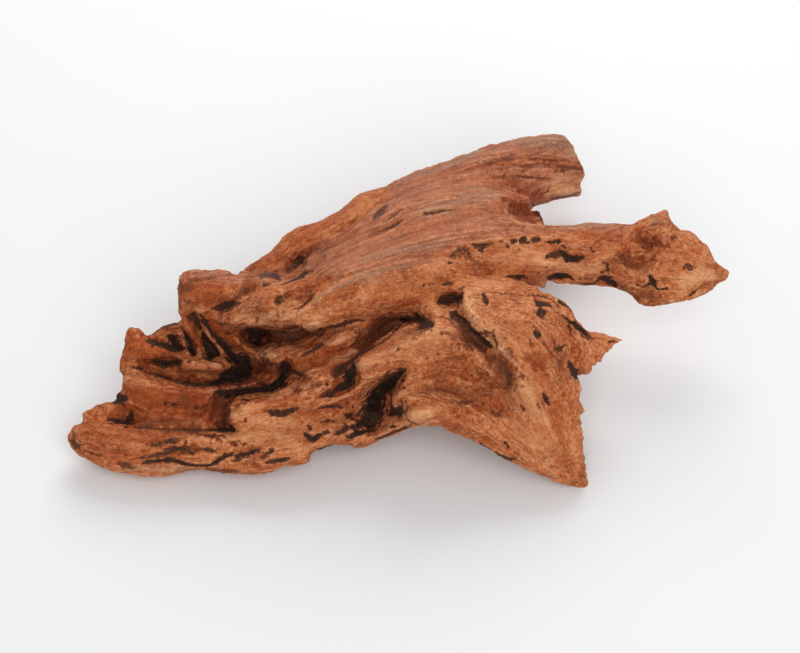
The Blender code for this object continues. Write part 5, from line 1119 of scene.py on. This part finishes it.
def readWood(tree):  # what the coats follow, by name
    reads = {}
    for name in masks:
        if name not in forJoints:
            reads[name] = addNode(tree, "Attribute", "Fac", attribute_name=name)
    where = addNode(tree, "TexCoord", "Object")
    for name, (size, detail, roughness) in finish["noises"].items():
        reads[name] = addNode(tree, "TexNoise", Vector=where, Scale=1 / (size * mm), Detail=detail,
                              Roughness=roughness)
    # The strands are one fine noise, read at places along the fibre and added up around zero
    along = addNode(tree, "CombineXYZ", X=reads["alongX"], Y=reads["alongY"], Z=reads["alongZ"])
    threads = -finish["strands"] - 0.5
    for i in range(-finish["strands"], finish["strands"] + 1):
        step = [i * finish["strand"] * 1.1 * mm] * 3
        there = addNode(tree, "VectorMath", operation="MULTIPLY_ADD", _0=along, _1=step, _2=where)
        noise = addNode(tree, "TexNoise", Vector=there, Scale=1 / (finish["strand"] * mm), Detail=1.0)
        threads = addNode(tree, "Math", operation="ADD", _0=threads, _1=noise)
    reads["threads"] = threads
    low, high = finish["contrast"]
    shows = addNode(tree, "MapRange", Value=reads["patch"], From_Min=0.36, From_Max=0.64, To_Min=low,
                    To_Max=high)
    calm = addNode(tree, "MapRange", Value=reads["smooth"], To_Min=1.0, To_Max=finish["calmed"])
    shows = addNode(tree, "Math", operation="MULTIPLY", _0=shows, _1=calm)
    amount = finish["specks"]
    specks = addNode(tree, "Math", operation="MULTIPLY_ADD", _0=reads["pore"], _1=amount, _2=-amount / 2)
    grainy = addNode(tree, "Math", operation="MULTIPLY_ADD", _0=threads, _1=shows, _2=specks)
    reads["fibre"] = addNode(tree, "Math", operation="ADD", use_clamp=True, _0=reads["fibre"], _1=grainy)
    # The flecks are few, so most of their noise lies below zero and only darkens a little
    flecks = addNode(tree, "Math", operation="MULTIPLY_ADD", _0=reads["fleck"], _1=2.4, _2=-1.4)
    tone = addNode(tree, "Math", operation="MULTIPLY", use_clamp=True, _0=reads["tone"], _1=1.4)
    reads["tone"] = addNode(tree, "Math", operation="ADD", use_clamp=True, _0=tone, _1=flecks)
    tone = addNode(tree, "Math", operation="MULTIPLY", use_clamp=True, _0=reads["tone"], _1=1.1)
    # paler where the wood faces up: painted light from above, and dust
    reads["dustAndTopLight"] = addNode(tree, "Math", operation="MULTIPLY", _0=reads["upLitAndDusty"], _1=tone)
    return reads


def coated(tree, reads, layers, surface=None):  # the layers, one over the other
    for follows, start, steep, half, *colours in layers:
        coat = linear(colours[0])
        if half:
            stops = list(zip((0.5 - half, 0.5, 0.5 + half), colours))
            coat = addNode(tree, "ValToRGB", stops=stops, Fac=reads["fibre"])
        if follows:
            full = start + 1 / steep
            share = addNode(tree, "MapRange", Value=reads[follows], From_Min=start, From_Max=full)
            coat = addNode(tree, "Mix", 2, data_type="RGBA", _0=share, _6=surface, _7=coat)
        surface = coat
    return surface


def wornRootWood():  # red tropical root wood: satin where rubbed, dull and fibrous where rotted and cleaned
    made = bpy.data.materials.new("waterWornRootWood")
    made.use_nodes = True
    tree = made.node_tree
    tree.nodes.clear()
    reads = readWood(tree)
    raw, rubbed = coated(tree, reads, coats["raw"]), coated(tree, reads, coats["rubbed"])
    surface = addNode(tree, "Mix", 2, data_type="RGBA", _0=reads["burnish"], _6=raw, _7=rubbed)
    surface = coated(tree, reads, coats["both"], surface)
    amount = finish["crumbs"]
    crumbs = addNode(tree, "Math", operation="MULTIPLY_ADD", _0=reads["pore"], _1=amount, _2=-amount / 2)
    darkMarks = addNode(tree, "Math", operation="ADD", _0=reads["stainAndShade"], _1=crumbs)
    rotAndShade = addNode(tree, "ValToRGB", stops=finish["rotAndShade"], Fac=darkMarks)
    # The rot, stains and painted shade cover the wood once their mask is past a quarter
    darkCover = addNode(tree, "MapRange", Value=darkMarks, From_Min=0.26, From_Max=0.5)
    surface = addNode(tree, "Mix", 2, data_type="RGBA", _0=darkCover, _6=surface, _7=rotAndShade)

    satin, dull = finish["roughness"]
    rough = addNode(tree, "MapRange", Value=reads["burnish"], To_Min=dull, To_Max=satin)
    height = 0.0
    for name, share in finish["relief"].items():
        height = addNode(tree, "Math", operation="MULTIPLY_ADD", _0=reads[name], _1=share, _2=height)
    bump = addNode(tree, "Bump", Height=height, Strength=0.6, Distance=finish["bump"] * mm)
    shader = addNode(tree, "BsdfPrincipled", Base_Color=surface, Roughness=rough, Normal=bump,
                     Specular_IOR_Level=finish["specular"])
    addNode(tree, "OutputMaterial", Surface=shader)
    return made


obj.data.materials.clear()
obj.data.materials.append(wornRootWood())
print("finish made")

# Where the pieces part, as lines across the drawing
sawnFork = [(64, 120), (64, 57), (74, 57)]
armFork = [(74, 57), (71.5, 50), (70.5, 20)]
flareFork = [(70.5, 20), (48, 2), (38, -22), (26, -44), (18, -51), (16, -100)]
leftFork = [(-91, 120), (-92, 3), (-92, -27), (-89, -50), (-86, -54), (-84, -100)]
bySawnLimb = [(110, 58), (125, 62), (200, 62)]
byArm = [(100, 8), (112, 2), (200, 2)]
hornFork = [(-92, 3), (-104, 0), (-112, 2.5), (-170, 12)]
splitFork = [(-92, -27), (-122, -25), (-140, -23.5), (-170, -22)]
shelfFork = [(-89, -50), (-133, -49.5), (-138, -43), (-142.5, -36.5), (-170, -33)]
crownEdge = [(-92, 3), (-52, 14), (-20, 24), (10, 27), (40, 40), (71.5, 50)]
coreEdge = [(-92, -27), (-76, -14), (-60, -12), (-20, -2), (10, 5), (48, 2)]
regions = [  # name, the CAD node that it stands for, and its border on the drawing
    ("sawn_limb_wood", "sawn_limb", sawnFork + bySawnLimb + [(200, 120)]),
    ("long_arm_wood", "long_arm", armFork + byArm + bySawnLimb[::-1]),
    ("flared_root_wood", "flared_root", flareFork + [(200, -100)] + byArm[::-1]),
    ("horn_root_wood", "horn_root", [(-91, 120)] + hornFork + [(-170, 120)]),
    ("split_root_wood", "split_root", hornFork + splitFork[::-1]),
    ("shelf_root_wood", "shelf_root", splitFork + shelfFork[::-1]),
    ("tongue_root_wood", "tongue_root", shelfFork + [(-170, -100)] + leftFork[:3:-1]),
    ("trunk_crown", "trunk", crownEdge + [(74, 57), (64, 57), (64, 120), (-91, 120)]),
    ("trunk_core", "trunk", crownEdge + [(70.5, 20)] + coreEdge[::-1]),
    ("trunk_belly", "trunk", coreEdge + flareFork[2:] + leftFork[:2:-1]),
]


def sightPrism(corners, low=-80, high=260):  # everything behind a region of the drawing
    points = [onDrawing(x, y, h) * mm for h in (low, high) for x, y in corners]
    count = len(corners)
    faces = [tuple(range(count)), tuple(range(count, 2 * count))]
    faces += [(i, (i + 1) % count, (i + 1) % count + count, i + count) for i in range(count)]
    prism = addObject("prism", bpy.data.meshes.new("prism"))
    prism.data.from_pydata(points, [], faces)
    choose(prism)
    inEditMode(bpy.ops.mesh.normals_make_consistent, inside=False)
    return prism


def healJoint(piece):  # the cut's new points take their masks and shading from the points beside them
    a, b = edgesOf(piece).T
    count = len(piece.data.vertices)
    layers = {name: piece.data.attributes[name].data for name in masks}
    known = np.empty(count, np.float32)
    layers["known"].foreach_get("value", known)
    values = {name: np.empty(count, np.float32) for name in masks}
    for name, made in values.items():
        layers[name].foreach_get("value", made)
    for _ in range(3):
        weight = np.bincount(a, known[b], count) + np.bincount(b, known[a], count)
        new = (known < 0.5) & (weight > 0)
        for made in values.values():
            around = np.bincount(a, (made * known)[b], count) + np.bincount(b, (made * known)[a], count)
            made[new] = (around / np.maximum(weight, 1))[new]
        known = np.where(new, 1, known)
    for name, made in values.items():
        layers[name].foreach_set("value", made)
    shading = np.stack([values["shade" + axis] for axis in "XYZ"], axis=1)
    piece.data.polygons.foreach_set("use_smooth", [True] * len(piece.data.polygons))
    piece.data.normals_split_custom_set_from_vertices(shading.tolist())
    for name in forJoints:
        piece.data.attributes.remove(piece.data.attributes[name])


def part(whole):
    pieces = []
    for name, node, corners in regions:
        piece = addObject(name, whole.data.copy())
        piece.data.name = name
        prism = sightPrism(corners)
        modify(piece, "BOOLEAN", object=prism, operation="INTERSECT", solver="MANIFOLD")
        bpy.data.objects.remove(prism)
        healJoint(piece)
        pieces.append((piece, node))
    bpy.data.objects.remove(whole)
    return pieces


pieces = part(obj)
for piece, node in pieces:
    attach(piece, "root")
    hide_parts(node)
    print(piece.name, len(piece.data.vertices), "points")

# The studio: a pale table and soft light from behind and in front
studio = {
    "table": "#e8e9ea",
    "tableSize": 12,  # m
    "tableRoughness": 0.9,
    "lights": [  # name, place in m, size in m, watts
        ("softbox", (0.1, 0.85, 0.88), 0.9, 9),
        ("frontFill", (0.35, -1.35, 1.4), 1.6, 21),
    ],
    "sky": 0.47,  # the air's own light, which keeps the shadows pale
}


def lightStudio():
    bpy.ops.mesh.primitive_plane_add(size=studio["tableSize"], location=(0, 2, 0))
    table = bpy.context.active_object
    table.name = "table"
    paint = bpy.data.materials.new("matteWhiteTable")  # matt lacquer: soft shadows and no reflections
    paint.use_nodes = True
    shader = paint.node_tree.nodes["Principled BSDF"]
    shader.inputs["Base Color"].default_value = linear(studio["table"])
    shader.inputs["Roughness"].default_value = studio["tableRoughness"]
    table.data.materials.append(paint)
    for name, place, size, power in studio["lights"]:
        bpy.ops.object.light_add(type="AREA", location=place)
        lamp = bpy.context.active_object
        lamp.name = name
        lamp.data.size = size
        lamp.data.energy = power
        lamp.rotation_euler = (-Vector(place)).to_track_quat("-Z", "Y").to_euler()
    world = bpy.data.worlds.new("studioAir")
    world.use_nodes = True
    sky = world.node_tree.nodes["Background"]
    sky.inputs["Color"].default_value = (1, 1, 1, 1)
    sky.inputs["Strength"].default_value = studio["sky"]
    bpy.context.scene.world = world
    bpy.context.scene.view_settings.view_transform = "Standard"


def placeCamera():
    bpy.ops.object.camera_add(location=Vector((centre + toEye * sight["distance"]) * mm))
    camera = bpy.context.active_object
    camera.rotation_euler = (math.radians(90 - sight["lean"]), 0, 0)
    camera.data.lens = sight["lens"]
    camera.data.sensor_width = sight["sensor"]
    camera.data.shift_y = sight["shift"]
    bpy.context.scene.camera = camera


lightStudio()
placeCamera()
print("studio set")
